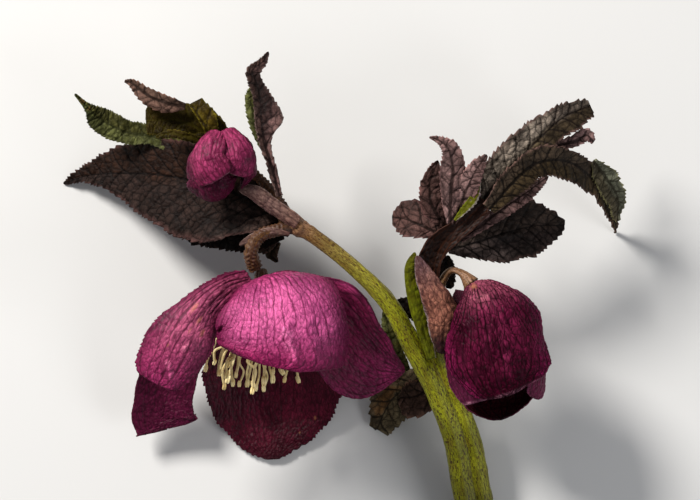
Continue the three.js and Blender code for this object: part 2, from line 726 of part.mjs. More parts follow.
const material = (color, roughness) => new THREE.MeshStandardMaterial({ color, roughness, metalness: 0 });
const sepalMaterial = material(0x8e2a63, 0.55);
const budMaterial = material(0xa8457c, 0.5);
const leafMaterial = material(0x4a3a36, 0.7);
const stemMaterial = material(0x8a8a35, 0.5);
const receptacleMaterial = material(0x6e4a38, 0.7);
const stamenMaterial = material(0xe6ddb0, 0.6);

// A tube through points given as x, y, z, with one radius.
const tube = (points, radius, steps, sides, grow = 0) =>
  stemGeometry(points.map((point) => [...point, radius]), steps, sides, grow);

// A short solid along the flower's axis, which runs down the page.
function coreGeometry({ centre, radius, depth }, grow = 0) {
  const geometry = new THREE.SphereGeometry(1, 8, 5);
  geometry.scale(radius + grow, depth + grow, radius + grow);
  return geometry.translate(...centre);
}

// The stamens of one flower spring from a disc just below its core.
function stamenGeometries(core, tips, grow = 0) {
  const [x, y, z] = core.centre;
  const top = y - core.depth - 2 * GAP;
  const disc = tube([[x, top, z], [x, top - DISC.depth, z]], DISC.radius, 1, 8, grow);
  const pieces = [disc];
  for (const tip of tips) {
    const side = [(tip[0] - x) * 0.16, (tip[2] - z) * 0.16];
    const start = [x + side[0], top - 0.5, z + side[1]];
    const middle = [x + (tip[0] - x) * 0.65, (start[1] + tip[1]) / 2, z + (tip[2] - z) * 0.65];
    pieces.push(tube([start, middle, tip], STAMEN.radius, 3, 4, grow));
    const anther = new THREE.SphereGeometry(1, 5, 3);
    anther.scale(STAMEN.antherRadius + grow, STAMEN.antherLength / 2 + grow, STAMEN.antherRadius + grow);
    pieces.push(anther.translate(...tip));
  }
  return pieces;
}

// Small tubular nectaries round the stamens, and the carpels on the axis, that spring from the same disc.
function innerGeometries(core, grow = 0) {
  const [x, y, z] = core.centre;
  const top = y - core.depth - 2 * GAP - 0.4;
  const pieces = [];
  for (let i = 0; i < NECTARY.count; i++) {
    const angle = ((i + 0.5) / NECTARY.count) * 2 * Math.PI;
    const at = (reach) => [x + reach * Math.cos(angle), z + reach * Math.sin(angle)];
    const [rootX, rootZ] = at(2.0);
    const [endX, endZ] = at(4.2);
    pieces.push(tube([[rootX, top, rootZ], [endX, top - NECTARY.length, endZ]], NECTARY.radius, 1, 5, grow));
  }
  for (let i = 0; i < CARPEL.count; i++) {
    const angle = (i / CARPEL.count) * 2 * Math.PI;
    const at = (reach) => [x + reach * Math.cos(angle), z + reach * Math.sin(angle)];
    const [rootX, rootZ] = at(0.9);
    const [endX, endZ] = at(1.6);
    pieces.push(tube([[rootX, top, rootZ], [endX, top - CARPEL.length, endZ]], CARPEL.radius, 1, 5, grow));
  }
  return pieces;
}

// Short stamens hidden in a flower, spread round its axis.
function hiddenTips(core, count, length, spread) {
  const [x, y, z] = core.centre;
  const tips = [];
  for (let i = 0; i < count; i++) {
    const angle = (i / count) * 2 * Math.PI;
    const reach = length * (1 + 0.08 * Math.sin(5 * i));
    tips.push([x + spread * Math.cos(angle), y - reach, z + spread * Math.sin(angle)]);
  }
  return tips;
}

const stemParts = (grow) => Object.values(STEMS).map((rows) => stemGeometry(rows, Math.round(rows.length * 1.6), STEM_SIDES, grow));
addSolid("main_stem", joined(stemParts(0)), joined(stemParts(GAP)), stemMaterial);

for (const [name, core] of [["open_receptacle", RECEPTACLE], ["side_receptacle", SIDE_RECEPTACLE]]) {
  addSolid(name, solidOf(coreGeometry(core)), solidOf(coreGeometry(core, GAP)), receptacleMaterial);
}
const openTips = [...LONG_STAMENS, ...hiddenTips(RECEPTACLE, SHORT_STAMENS, 20, 6.5)];
const sideTips = hiddenTips(SIDE_RECEPTACLE, SHORT_STAMENS, 15, 3);
function centre(core, tips, grow = 0) {
  return joined([...stamenGeometries(core, tips, grow), ...innerGeometries(core, grow)]);
}
addSolid("open_flower_centre", centre(RECEPTACLE, openTips), centre(RECEPTACLE, openTips, GAP), stamenMaterial);
addSolid("side_flower_centre", centre(SIDE_RECEPTACLE, sideTips), centre(SIDE_RECEPTACLE, sideTips, GAP), stamenMaterial);

function addBlades(blades, thickness, lengthSteps, widthSteps, bladeMaterial) {
  for (const [name, blade] of Object.entries(blades)) {
    const solid = solidOf(sheetGeometry(blade, thickness, lengthSteps, widthSteps));
    const wider = sheetGeometry(blade, thickness, lengthSteps, widthSteps, GAP);
    const thicker = sheetGeometry(blade, thickness + 2 * GAP, lengthSteps, widthSteps);
    const grown = joined([wider, thicker]);
    addSolid(name, solid, grown, bladeMaterial);
  }
}
addBlades(OPEN_SEPALS, SEPAL_THICKNESS, 10, 8, sepalMaterial);
addBlades(BUD_SEPALS, SEPAL_THICKNESS, 8, 6, budMaterial);
addBlades(SIDE_SEPALS, SEPAL_THICKNESS, 8, 6, sepalMaterial);
addBlades({ ...LEFT_BRACT, ...RIGHT_BRACT, ...REAR_BRACT }, LEAF_THICKNESS, 7, 4, leafMaterial);

// The plant is set down with the middle of its box over the origin and its lowest points on z = 0.
const box = new THREE.Box3().setFromObject(plant);
const middle = box.getCenter(new THREE.Vector3());
plant.userData.offset = [-middle.x, -middle.y, -box.min.z];
plant.position.set(...plant.userData.offset);
plant.updateMatrixWorld(true);

export default plant;
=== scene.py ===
"""A cut hellebore lying on a pale floor: one forked stem with an open flower, a bud, a half-open side
flower and their toothed bracts. Every leaf and sepal is a thin closed sheet with its veins, folds and
teeth in its mesh."""
import math
from types import SimpleNamespace

import bpy
import numpy as np
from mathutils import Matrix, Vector


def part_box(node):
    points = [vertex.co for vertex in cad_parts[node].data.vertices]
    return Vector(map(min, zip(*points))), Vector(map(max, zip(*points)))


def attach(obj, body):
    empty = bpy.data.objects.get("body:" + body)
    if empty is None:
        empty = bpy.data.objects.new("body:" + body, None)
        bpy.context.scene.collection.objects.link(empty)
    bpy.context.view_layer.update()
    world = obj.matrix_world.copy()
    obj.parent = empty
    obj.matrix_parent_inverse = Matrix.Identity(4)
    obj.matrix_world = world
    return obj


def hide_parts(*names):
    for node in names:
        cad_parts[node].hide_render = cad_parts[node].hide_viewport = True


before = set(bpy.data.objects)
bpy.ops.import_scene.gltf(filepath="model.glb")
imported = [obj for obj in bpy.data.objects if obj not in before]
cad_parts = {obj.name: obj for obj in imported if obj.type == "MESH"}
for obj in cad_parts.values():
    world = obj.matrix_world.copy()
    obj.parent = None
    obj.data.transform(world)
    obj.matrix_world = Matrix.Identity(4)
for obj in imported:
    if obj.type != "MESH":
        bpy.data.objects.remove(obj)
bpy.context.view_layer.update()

MM = 0.001

# The cores of the two flowers in the plant's own coordinates, in millimetres.
RECEPTACLE = [-22, -7, 30]
SIDE_RECEPTACLE = [30.2, -9.6, 29.6]

# Where the plant's own origin lies in the frame, in millimetres.
low, high = (np.array(corner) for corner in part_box("open_receptacle"))
ORIGIN = (low + high) / 2 / MM - np.array(RECEPTACLE)

# The spacing of a blade's points, and the grain at which the stems are fused, in millimetres.
CELL = 0.3
STEM_VOXEL = 0.34

# The scale of the texture coordinates, in which blades and stems are unrolled.
UV_PER_MM = 0.01

# ---------------------------------------------------------------- shapes

# A blade is a list of sections along its midrib. Each section holds x, y, z of the midrib and the left and
# right half width. Then, where they aren't zero, come how far the left and right halves curl up in degrees
# (down if negative) and the roll about the midrib in degrees (0 faces straight up).
# tip is the share of the length over which the end is rounded off, fold the angle at which the halves leave
# the midrib, and gather how wide the fan of veins is at the base, where 1 is the blade's full width.

# The open flower hangs with its mouth towards the foot of the stem.
OPEN_SEPALS = {
    "open_sepal_front": dict(look="petal_front", style="smooth_sepal", tip=0.1, gather=0.5, rows=[
        [-21.4, -6.6, 35.5, 10, 9, -25, -25],
        [-19.4, -7.5, 41.8, 15.6, 15.4, -35, -35],
        [-17.8, -11.2, 47.4, 18, 18.4, -50, -50],
        [-17, -16, 50.3, 19.2, 19, -60, -60],
        [-16.8, -21, 51.2, 19.4, 19.4, -60, -60],
        [-16.9, -25.2, 51, 18.6, 18.8, -56, -56],
        [-17.5, -29, 50.4, 16.2, 16.2, -46, -46],
    ]),
    "open_sepal_left": dict(look="petal_left", style="sepal", tip=0.05, rows=[
        [-25.2, -6.6, 31.5, 2.4, 2.2, -10, -10],
        [-30.3, -8.2, 37, 4, 2.8, -30, -30],
        [-36.4, -13.2, 41.5, 6, 4.6, -45, -45],
        [-41.4, -20.6, 43.2, 9.4, 7.6, -42, -42],
        [-44.6, -27.8, 42.2, 7.6, 8.8, -38, -40],
        [-47.2, -33.6, 40.4, 5, 6.6, -20, -25],
    ]),
    "open_sepal_lower_left": dict(look="petal_lower_left", style="smooth_sepal", tip=0.03, rows=[
        [-24.5, -8.5, 28, 3, 3],
        [-33, -16.5, 21, 5, 7, 20, 20],
        [-41.5, -26, 14.5, 5.5, 9, 20, 20],
        [-46, -35, 10, 6.8, 8.2, 15, 20],
        [-47.4, -42, 7.8, 8.2, 8.2, 10, 15],
        [-46.6, -45.6, 7.2, 8.8, 8.2, 5, 10],
    ]),
    "open_sepal_back": dict(look="petal_back", style="sepal", tip=0.03, rows=[
        [-22, -9.5, 26.5, 3, 3],
        [-21.6, -15.5, 16, 11, 10, 20, 20],
        [-20.8, -25, 7.5, 17, 16, 25, 25],
        [-20.3, -34.3, 2.8, 18.8, 17.2, 25, 25],
        [-20.1, -43.6, 0.5, 15, 13.6, 20, 20],
        [-19.9, -49.6, 0.7, 9.4, 8.6, 10, 10],
        [-19.6, -53.6, 1.5, 1.6, 1.6, 10, 10],
    ]),
    "open_sepal_right": dict(look="petal_right", style="smooth_sepal", tip=0.04, rows=[
        [-18.8, -7.4, 30, 2, 2.5],
        [-13, -8.8, 33, 3.8, 6, 50, 0],
        [-4.5, -14.2, 32.5, 8.2, 11, 30, 10],
        [2.8, -22, 29, 6, 13.8, 10, 10],
        [8.5, -27.5, 25.5, 3.8, 12.4, 5, 5],
        [13.9, -30.7, 23, 0.6, 1.4],
    ]),
}

BUD_SEPALS = {
    "bud_sepal_upper_left": dict(look="bud_pink", style="bud_sepal", tip=0.08, rows=[
        [-32.2, 29.2, 40.6, 1.8, 3, -20, -40],
        [-33.4, 26.8, 43.4, 3, 5.6, -15, -65],
        [-34, 23.4, 44.9, 3.2, 7.2, -10, -75],
        [-33.2, 20.4, 44.9, 4, 7.8, -10, -75],
        [-31.4, 17.6, 44, 3.2, 6.8, -10, -50],
    ]),
    "bud_sepal_upper_right": dict(look="bud_pink", style="bud_sepal", tip=0.1, rows=[
        [-31, 29.5, 40.4, 2.6, 1.8, -40, -20],
        [-29.4, 27, 42.8, 5, 3.6, -65, -10],
        [-28.2, 23.6, 43.9, 6.5, 4.6, -80, -10],
        [-28, 20.8, 43.5, 6.6, 3.8, -75, -10],
        [-28.8, 18.4, 42.6, 4.8, 1.6, -45, -10],
    ]),
    "bud_sepal_lower": dict(look="bud_plum", style="bud_sepal", tip=0.12, rows=[
        [-34.2, 22, 39, 3.4, 4.4, -50, -60],
        [-34.2, 18.8, 41.6, 6.6, 7.2, -60, -65],
        [-33.8, 15.8, 41.6, 7.6, 7.8, -60, -65],
        [-33, 13.4, 39.4, 7, 6.8, -60, -60],
        [-32.4, 12.2, 36, 4.6, 4.6, -40, -40],
    ]),
    "bud_sepal_right": dict(look="bud_plum", style="bud_sepal", tip=0.2, rows=[
        [-28.2, 27.5, 38, 2.6, 1.6, -60, -10, 80],
        [-24.6, 23.5, 38.4, 6.6, 4, -95, -40, 80],
        [-23.8, 18.5, 38.2, 7.4, 4.4, -100, -45, 80],
        [-27, 15, 37.4, 4, 1.8, -70, -30, 80],
    ]),
    "bud_sepal_left": dict(look="bud_plum", style="bud_sepal", tip=0.2, rows=[
        [-36.4, 27, 38, 1.6, 2.6, -10, -60, -80],
        [-39.6, 22.8, 38.4, 4, 6.6, -40, -95, -80],
        [-40, 18, 38.4, 4.4, 7.4, -45, -100, -80],
        [-37.4, 14.6, 38, 2.8, 4, -30, -70, -80],
    ]),
}

SIDE_SEPALS = {
    "side_sepal_front": dict(look="side_front", style="smooth_sepal", tip=0.06, gather=0.5, rows=[
        [31.2, -8, 33, 4, 3, -30, -30],
        [32.4, -10.2, 37, 12, 8.5, -60, -60],
        [34.2, -15.4, 40.6, 16.5, 13, -72, -72],
        [35.4, -21.5, 41.7, 17, 15.8, -75, -75],
        [36.2, -27.5, 41.6, 17.2, 15.2, -72, -70],
        [37.2, -32.6, 41, 15.6, 10.8, -60, -50],
        [38.2, -35.9, 40.3, 11.6, 6.4, -42, -36],
    ]),
    "side_sepal_left": dict(look="side_left", style="smooth_sepal", tip=0.01, rows=[
        [27.4, -10, 29, 2, 2, -10, -10, -55],
        [25.6, -17, 29.5, 5, 4, -30, -30, -55],
        [26, -25, 30, 6.5, 5.5, -30, -30, -50],
        [28.2, -32.2, 30.5, 6.8, 5.6, -20, -20, -38],
        [29.9, -38.6, 30.5, 4.6, 1.4, 0, 0, -30],
    ]),
    "side_sepal_back": dict(look="side_back", style="smooth_sepal", tip=0.2, rows=[
        [30.5, -11.5, 25.5, 2.5, 2.5, 20, 20],
        [33.5, -20, 20, 8, 7.5, 30, 30],
        [36, -30, 18, 12, 9.5, 35, 35],
        [37.4, -37.5, 20, 11, 9.5, 30, 30],
        [38.2, -42.6, 24, 7.5, 7.5, 20, 20],
    ]),
    "side_sepal_right": dict(look="side_right", style="smooth_sepal", tip=0.06, rows=[
        [35.6, -10.6, 29, 2, 2, -10, -10, 70],
        [44, -16.5, 29.5, 5, 5, -30, -30, 75],
        [47.4, -25, 30, 6, 6.5, -30, -30, 80],
        [47.6, -32, 30.5, 5.5, 6, -20, -20, 70],
        [46, -37, 31, 3, 3.4, -10, -10, 50],
    ]),
}

# The bract under the open flower and the bud, on the left.
LEFT_BRACT = {
    "left_bract_large": dict(look="leaf_dark", style="leaf", tip=0.02, fold=8, rows=[
        [-13.8, 5.8, 31, 3, 2.2, 30, 30],
        [-22, 11.3, 31, 8.6, 3.8, 15, 10],
        [-31.2, 15, 26.5, 13.8, 10],
        [-40.5, 17.6, 22.5, 14.2, 9.4, -5, -5],
        [-50.5, 19.2, 15.5, 10.6, 9.2, -10, -10],
        [-60.5, 19.5, 7.5, 4.6, 6, -10, -10],
        [-67, 19, 3, 1.6, 2.8],
        [-73.8, 17.1, 0.42, 0.3, 0.3],
    ]),
    "left_bract_lower_lobe": dict(look="leaf_night", style="leaf", tip=0.1, rows=[
        [-16.5, 4.2, 28, 1.5, 1.5],
        [-25, 3.6, 25, 3.8, 4],
        [-34, 3.9, 20.5, 3, 5],
        [-41.2, 2.4, 16.5, 0.6, 0.6],
    ]),
    "left_bract_green_lobe": dict(look="leaf_green", style="fine_leaf", tip=0.02, rows=[
        [-17, 9, 28, 1.2, 1.2],
        [-32, 19.5, 23, 3, 3.2],
        [-48, 28, 18, 2, 2.3, 10, 10],
        [-56.5, 29.8, 17, 3, 3, 10, 10],
        [-63, 33, 18, 3, 3, -20, -20],
        [-66.2, 36, 20, 0.9, 1],
        [-69.3, 39.3, 22, 0.3, 0.3],
    ]),
    "left_bract_olive_lobe": dict(look="leaf_olive", style="fine_leaf", tip=0.05, rows=[
        [-29, 24, 31, 1.5, 1.5],
        [-36, 29.2, 33, 3, 5.5],
        [-42.3, 32.2, 34, 3.8, 4.2],
        [-47.3, 32.3, 33.5, 3.9, 3.6],
        [-50.8, 32.2, 33, 3.4, 3.2],
    ]),
    "left_bract_olive_flap": dict(look="leaf_flap", style="fine_leaf", tip=0.02, rows=[
        [-34, 26.5, 36, 0.6, 1.5],
        [-36.4, 31.5, 37, 0.6, 3.6],
        [-39.5, 36.3, 36.5, 0.6, 2.6],
    ]),
    "left_bract_olive_tip": dict(look="leaf_rust", style="fine_leaf", tip=0.01, rows=[
        [-40.8, 35.6, 37, 1, 0.8],
        [-45.8, 36.4, 38, 2.2, 1.9],
        [-50.6, 38.6, 37.5, 2, 1.5],
        [-53.8, 41.2, 36.4, 0.9, 0.9],
        [-55.9, 41.9, 35.6, 0.3, 0.3],
    ]),
    "left_bract_strip_lobe": dict(look="leaf_olive", style="fine_leaf", tip=0.1, rows=[
        [-34, 26, 33, 0.8, 0.8],
        [-40, 28, 35.5, 0.9, 0.9],
        [-44.5, 28.8, 36, 0.9, 0.9],
        [-48.3, 28, 35.5, 0.5, 0.5],
    ]),
    "twisted_bract": dict(look="leaf_brown", style="fine_leaf", tip=0.03, rows=[
        [-17.5, 13.5, 36, 1.1, 1.1, 60, 60],
        [-19.3, 20.5, 38, 1.1, 1.1, 60, 60],
        [-21.2, 27, 39, 1.4, 1.8, 40, 30],
        [-21.8, 32, 39.5, 1.6, 5.4, 10, 10],
        [-22.2, 37, 39, 1.6, 3.2, 10, 10],
        [-23.2, 41.4, 38, 1.9, 1.5, 30, 30],
        [-24.2, 44.4, 37.4, 1.2, 2.4, 30, 30],
        [-21.6, 46.6, 36.5, 1, 1, 30, 30],
        [-20.2, 49.2, 36, 0.3, 0.3],
    ]),
    "twisted_bract_back": dict(look="leaf_green", style="fine_leaf", tip=0.1, rows=[
        [-20.4, 22.5, 36.5, 0.5, 0.5],
        [-23.3, 30.5, 36.5, 1.2, 1.5],
        [-24.6, 37, 36.5, 1.3, 1.5],
        [-24.3, 40.5, 36.5, 0.6, 0.6],
    ]),
    "left_sheath": dict(look="leaf_ribbed", style="sheath", tip=0.05, rows=[
        [-13, 6.6, 35.3, 2, 2, -60, -60],
        [-18.7, 10.5, 37.3, 2.3, 2.4, -60, -60],
        [-23, 13.6, 38.3, 2, 2.4, -50, -50],
        [-27.6, 15.6, 38.5, 0.9, 1, -20, -20],
    ]),
    "left_sheath_lip": dict(look="leaf_ribbed", style="sheath", tip=0.1, rows=[
        [-15, 4, 35.5, 0.5, 0.5],
        [-19.5, 4.7, 36.5, 0.9, 0.9],
        [-23.8, 3.4, 35, 0.9, 0.9],
        [-27.5, 1.2, 31.5, 0.5, 0.5],
    ]),
    "left_small_leaf": dict(look="leaf_grey", style="fine_leaf", tip=0.1, rows=[
        [-18.5, 2.5, 25, 0.8, 0.8],
        [-21.5, 1.2, 22.5, 2, 2],
        [-25.3, 0.6, 20, 0.5, 0.5],
    ]),
    "left_small_leaf_tip": dict(look="leaf_grey", style="fine_leaf", tip=0.1, rows=[
        [-18, 2, 23, 0.7, 0.7],
        [-19.8, -0.8, 21, 1.4, 1.4],
        [-18.3, -3, 19, 0.4, 0.4],
    ]),
}

# The bract above the side flower, on the right.
RIGHT_BRACT = {
    "right_sheath": dict(look="leaf_husk", style="sheath", tip=0.05, rows=[
        [23.4, -25.8, 27.5, 1.8, 1.6, -60, -60],
        [23.4, -22.4, 31, 4, 3.9, -60, -60],
        [23.8, -18, 33.8, 5.4, 5.3, -65, -70],
        [22.4, -13.8, 34.8, 4.6, 4.5, -50, -60],
        [20.1, -9.6, 35.4, 3.2, 3.3, -30, -35],
        [18.1, -5.4, 36, 2.1, 2.1, -15, -20],
        [16.6, -1.4, 36, 0.5, 0.5, -20, -20],
    ]),
    "right_sheath_back": dict(look="leaf_spring", style="sheath", tip=0.05, rows=[
        [20.6, -27.2, 24.6, 1.2, 1],
        [18.6, -20.4, 28.4, 1.9, 2, -20, -20],
        [16.6, -13.4, 31.6, 2, 2.3, -25, -25],
        [15.2, -7.6, 34, 1.7, 2.1, -25, -25],
        [15, -3.4, 35.6, 1.1, 1.6, -25, -25],
        [16.2, -0.6, 36.4, 0.4, 0.4],
    ]),
    "right_petiole": dict(look="leaf_throat", style="sheath", tip=0.05, rows=[
        [21.3, -9.6, 26.6, 3, 1.2, 40, 40],
        [21, -4.4, 29.3, 4.4, 2.2, 50, 50],
        [23, 1.2, 31.5, 4.2, 2.6, 50, 50],
        [28.5, 6.8, 33.5, 2.8, 2.8, 40, 40],
        [33.5, 12, 34.5, 3.5, 3, 20, 20],
    ]),
    "right_lobe_upper": dict(look="leaf_dusk", style="leaf", tip=0.03, fold=8, rows=[
        [30, 9, 31, 2, 1.5],
        [35.5, 15.5, 33, 5, 4, 10, 10],
        [40.5, 21, 34, 6, 5.5],
        [46.5, 27.2, 33, 4.8, 3.6],
        [53.2, 33, 29.5, 3.5, 4.2],
        [60.3, 36.2, 25, 1.8, 3],
    ]),
    "right_lobe_arching": dict(look="leaf_grey", style="leaf", tip=0.01, fold=6, rows=[
        [34.5, 10.2, 36.5, 2, 2],
        [41, 17.5, 38.5, 3.5, 3.5],
        [47, 21.8, 38.5, 3.5, 3.7],
        [55, 21.6, 33, 2.8, 4.2],
        [61.9, 16.6, 22, 2.5, 2.8],
        [66.3, 10, 10, 1.6, 1.6],
        [68.4, 4.3, 0.25, 0.3, 0.3],
    ]),
    "right_lobe_flap": dict(look="leaf_pale", style="leaf", tip=0.01, rows=[
        [60.8, 22.2, 28.5, 1, 1],
        [64.2, 18.2, 23.5, 2.4, 3],
        [67.6, 13.2, 16.5, 2, 2.6],
        [68.2, 7.4, 9, 0.5, 0.5],
    ]),
    "right_curled_scrap": dict(look="leaf_mauve", style="fine_leaf", tip=0.02, rows=[
        [51, 26, 29, 0.8, 0.8],
        [55.5, 27, 28.5, 1.4, 1.2],
        [59, 28.6, 28, 1.6, 1.4],
        [60.8, 27, 27, 0.6, 0.6],
    ]),
    "right_lobe_lower": dict(look="leaf_black", style="leaf", tip=0.15, fold=6, rows=[
        [24.5, 0, 27.5, 1.2, 1.2, 30, 30],
        [31.2, 1.8, 26.5, 3, 4.6, 10, 10],
        [38.8, 4.2, 24.5, 7, 7.2],
        [46.3, 6, 21.5, 6, 6.6],
        [54, 6.2, 18, 2.5, 2.5],
    ]),
    "right_strip": dict(look="leaf_mauve", style="fine_leaf", tip=0.1, rows=[
        [27.5, 2.6, 31, 0.9, 0.9],
        [37.5, 9.8, 31.5, 1.5, 1.9],
        [43.8, 14.2, 32.5, 1.5, 1.9],
        [49.4, 18.4, 33, 0.5, 0.5],
    ]),
    "right_lobe_round": dict(look="leaf_plum", style="leaf", tip=0.3, rows=[
        [22.5, 4, 29, 1.2, 1.2],
        [18.5, 5.8, 29, 3.2, 4.6],
        [14.5, 7.6, 27.5, 4.2, 5],
        [10.6, 8.2, 25.5, 2.6, 2.6],
    ]),
    "right_lobe_inner": dict(look="leaf_plum", style="fine_leaf", tip=0.1, rows=[
        [23.5, 6, 31.5, 1.2, 1.2],
        [20.5, 11, 33.5, 2.6, 3],
        [19.8, 16.5, 34.5, 2.2, 2.8],
        [21.8, 22.3, 35, 0.6, 0.6],
    ]),
    "right_lobe_tall": dict(look="leaf_mauve", style="fine_leaf", tip=0.01, fold=-8, rows=[
        [24.8, 6.5, 34, 0.8, 0.8],
        [24.9, 13.5, 37, 2.4, 2.4],
        [25.4, 19.8, 38.5, 2.9, 3],
        [24.6, 24.4, 38.5, 1.7, 2.6],
        [22.6, 26.8, 37.6, 0.9, 1.2],
        [19.6, 28, 37, 0.25, 0.25],
    ]),
    "right_lobe_third": dict(look="leaf_mauve", style="fine_leaf", tip=0.01, rows=[
        [25.8, 6.8, 33.5, 0.8, 0.8],
        [28.3, 13.5, 36.6, 2, 2.2],
        [30.8, 19.2, 38.4, 2.4, 2],
        [33.8, 23.6, 38.8, 0.4, 0.4],
    ]),
    "right_green_margin": dict(look="leaf_spring", style="fine_leaf", tip=0.02, rows=[
        [26, 7.4, 35.5, 0.4, 0.4],
        [28.4, 10.4, 36.5, 0.7, 1],
        [30.6, 13.4, 37, 0.6, 1.3],
        [32.2, 17.2, 37.4, 0.25, 0.25],
    ]),
    "right_dark_lobe": dict(look="leaf_night", style="fine_leaf", tip=0.1, rows=[
        [24, -1.5, 23.5, 1, 1],
        [24.2, -5.5, 20.5, 2.4, 2.2],
        [25.5, -9.8, 18, 0.6, 0.6],
    ]),
}

# The bract behind the stems.
REAR_BRACT = {
    "rear_lobe_lower": dict(look="leaf_moss", style="leaf", tip=0.02, rows=[
        [22, -28, 11.5, 1.5, 1.5],
        [16.5, -33.5, 9, 3, 3],
        [10.5, -38.5, 5.5, 5.5, 5],
        [6.8, -46.2, 2, 2.6, 1.8],
    ]),
    "rear_lobe_brown": dict(look="leaf_rust", style="leaf", tip=0.2, rows=[
        [23.5, -33, 13.6, 1.5, 1.5],
        [19.5, -36, 12.8, 4.6, 3, 10, 10],
        [15.5, -37.5, 12, 4.6, 3.6, 10, 10],
        [12.6, -37.6, 11.5, 3, 2, 10, 10],
    ]),
    "rear_lobe_green": dict(look="leaf_green", style="fine_leaf", tip=0.1, rows=[
        [14.6, -30.5, 17, 0.8, 0.8],
        [11.5, -25.5, 17.5, 1.6, 1.8],
        [9.8, -20.5, 18, 1.5, 1.5],
        [8.8, -14.5, 18, 0.5, 0.5],
    ]),
    "rear_lobe_dark": dict(look="leaf_night", style="fine_leaf", tip=0.1, rows=[
        [21, -20, 20.5, 1, 1],
        [16, -15, 22, 2.4, 2.4],
        [11.5, -12.8, 22, 0.6, 0.6],
    ]),
}

# Patches of another colour on a blade, seen from above: x, y and radius. The pale patches on the sepals
# are painted highlights, the dark ones on bud_sepal_lower painted shade in the bud's mouth, and on
# right_lobe_upper the pale patches are painted highlights and the dark one painted shade.
MARKS = {
    "open_sepal_front": {
        # Painted highlights along the crease.
        "pale": [(-16, -20.5, 1.2), (-15, -23.4, 1.5), (-14, -26.4, 1.4)],
    },
    "open_sepal_left": {
        "warm": [
            (-38.2, -14.2, 0.6), (-37, -17.2, 0.5), (-39.4, -19.8, 0.4), (-36.4, -20.6, 0.5),
            (-44.8, -23.4, 0.3),
        ],
        "dark": [(-43, -21.4, 0.6), (-46.4, -30.4, 0.4), (-38.6, -12, 0.5), (-47.2, -33.4, 0.7)],
        # Painted highlights along the ridges.
        "pale": [(-45, -28.6, 0.9), (-44.2, -31.2, 1), (-41, -24, 0.8)],
    },
    "open_sepal_back": {
        "warm": [(-9, -43, 0.35), (-13, -47, 0.3)],
        "dark": [(-22.5, -48.5, 0.6), (-15, -50.5, 0.5)],
    },
    "open_sepal_right": {
        # Painted highlights along the fold.
        "pale": [(-10, -6.4, 3.6), (-2.5, -8.2, 3)],
    },
    "bud_sepal_lower": {
        # Painted shade in the bud's mouth, under the edge of the upper sepal.
        "dark": [(-30.4, 15.6, 0.9), (-28.8, 16.6, 1.1), (-27.4, 17.6, 1.1)],
        # A painted highlight.
        "pale": [(-37, 16.6, 1.2)],
    },
    "side_sepal_front": {
        "warm": [(30.6, -9, 1)],
        "dark": [
            (28, -26, 1.6), (31, -31, 1.4), (42.5, -31, 1.2), (29.5, -18, 1.2), (33.5, -24.5, 1),
            (34, -20, 0.5), (38.6, -17, 0.4), (41, -22.5, 0.5), (36.5, -32, 0.7),
        ],
        # Painted highlights.
        "pale": [(33.5, -14.5, 3), (37, -20.5, 2.2), (38.5, -28, 1.8)],
    },
    "left_bract_large": {
        "pale": [(-25, 6, 2.6), (-20.5, 6.6, 2.2), (-32, 2.8, 1.6), (-27, 10.2, 1.6)],
    },
    "left_bract_green_lobe": {
        "warm": [(-67.5, 37.5, 1.2), (-65.5, 35.6, 0.7)],
    },
    "twisted_bract": {
        "dark": [(-23, 40.5, 4)],
        "pale": [(-18.4, 30, 2.4), (-19, 22, 3), (-17.5, 15, 3)],
    },
    "right_sheath": {
        "dark": [(22.4, -23.6, 1.6), (25, -23.4, 1.4), (23.6, -25, 1.4)],
    },
    "right_lobe_upper": {
        # Painted shade on the lower half.
        "dark": [(37, 14.5, 3)],
        # Painted highlights on the upper half.
        "pale": [(37.5, 20.5, 4), (43.5, 27, 3.5)],
    },
    "right_lobe_lower": {
        "dark": [(35, 7.5, 3.5), (40, 9, 3)],
        "pale": [(31, 1, 3), (38, -1.2, 2.4)],
    },
    "rear_lobe_lower": {
        "warm": [(9, -38, 3)],
    },
}

# Rounded creases on a blade, seen from above: x and y of both ends, height and breadth.
RIDGES = {
    "open_sepal_front": [(-16.4, -17, -12.8, -28.4, 1.3, 1.2), (-11.5, -16, -8, -26, 0.5, 1.6)],
    "open_sepal_left": [(-31, -8.5, -40, -17, 0.7, 1.2), (-45.4, -27, -43.6, -34, 0.9, 1)],
    "open_sepal_right": [(-14, -6.5, 1.5, -10.5, 0.9, 0.9)],
    "side_sepal_front": [(33, -12, 30, -27, 0.45, 1.4), (37, -13, 44, -22, 0.45, 1.3)],
    "left_bract_large": [
        (-17, 7, -32, 8, 1, 0.9), (-17.5, 5.4, -30, 2.6, 1, 0.9), (-18, 9.6, -34, 12.4, 0.8, 1),
    ],
    "right_sheath": [(17.2, -8, 19.2, -17, 0.35, 0.4)],
    "right_petiole": [(22, -6, 27, 5, 0.5, 0.6), (23.5, -6, 29, 5, 0.5, 0.6)],
    "right_lobe_lower": [(26, 1, 37, -0.5, 0.7, 0.9), (27, 1.8, 42, 4, 0.6, 0.9)],
}

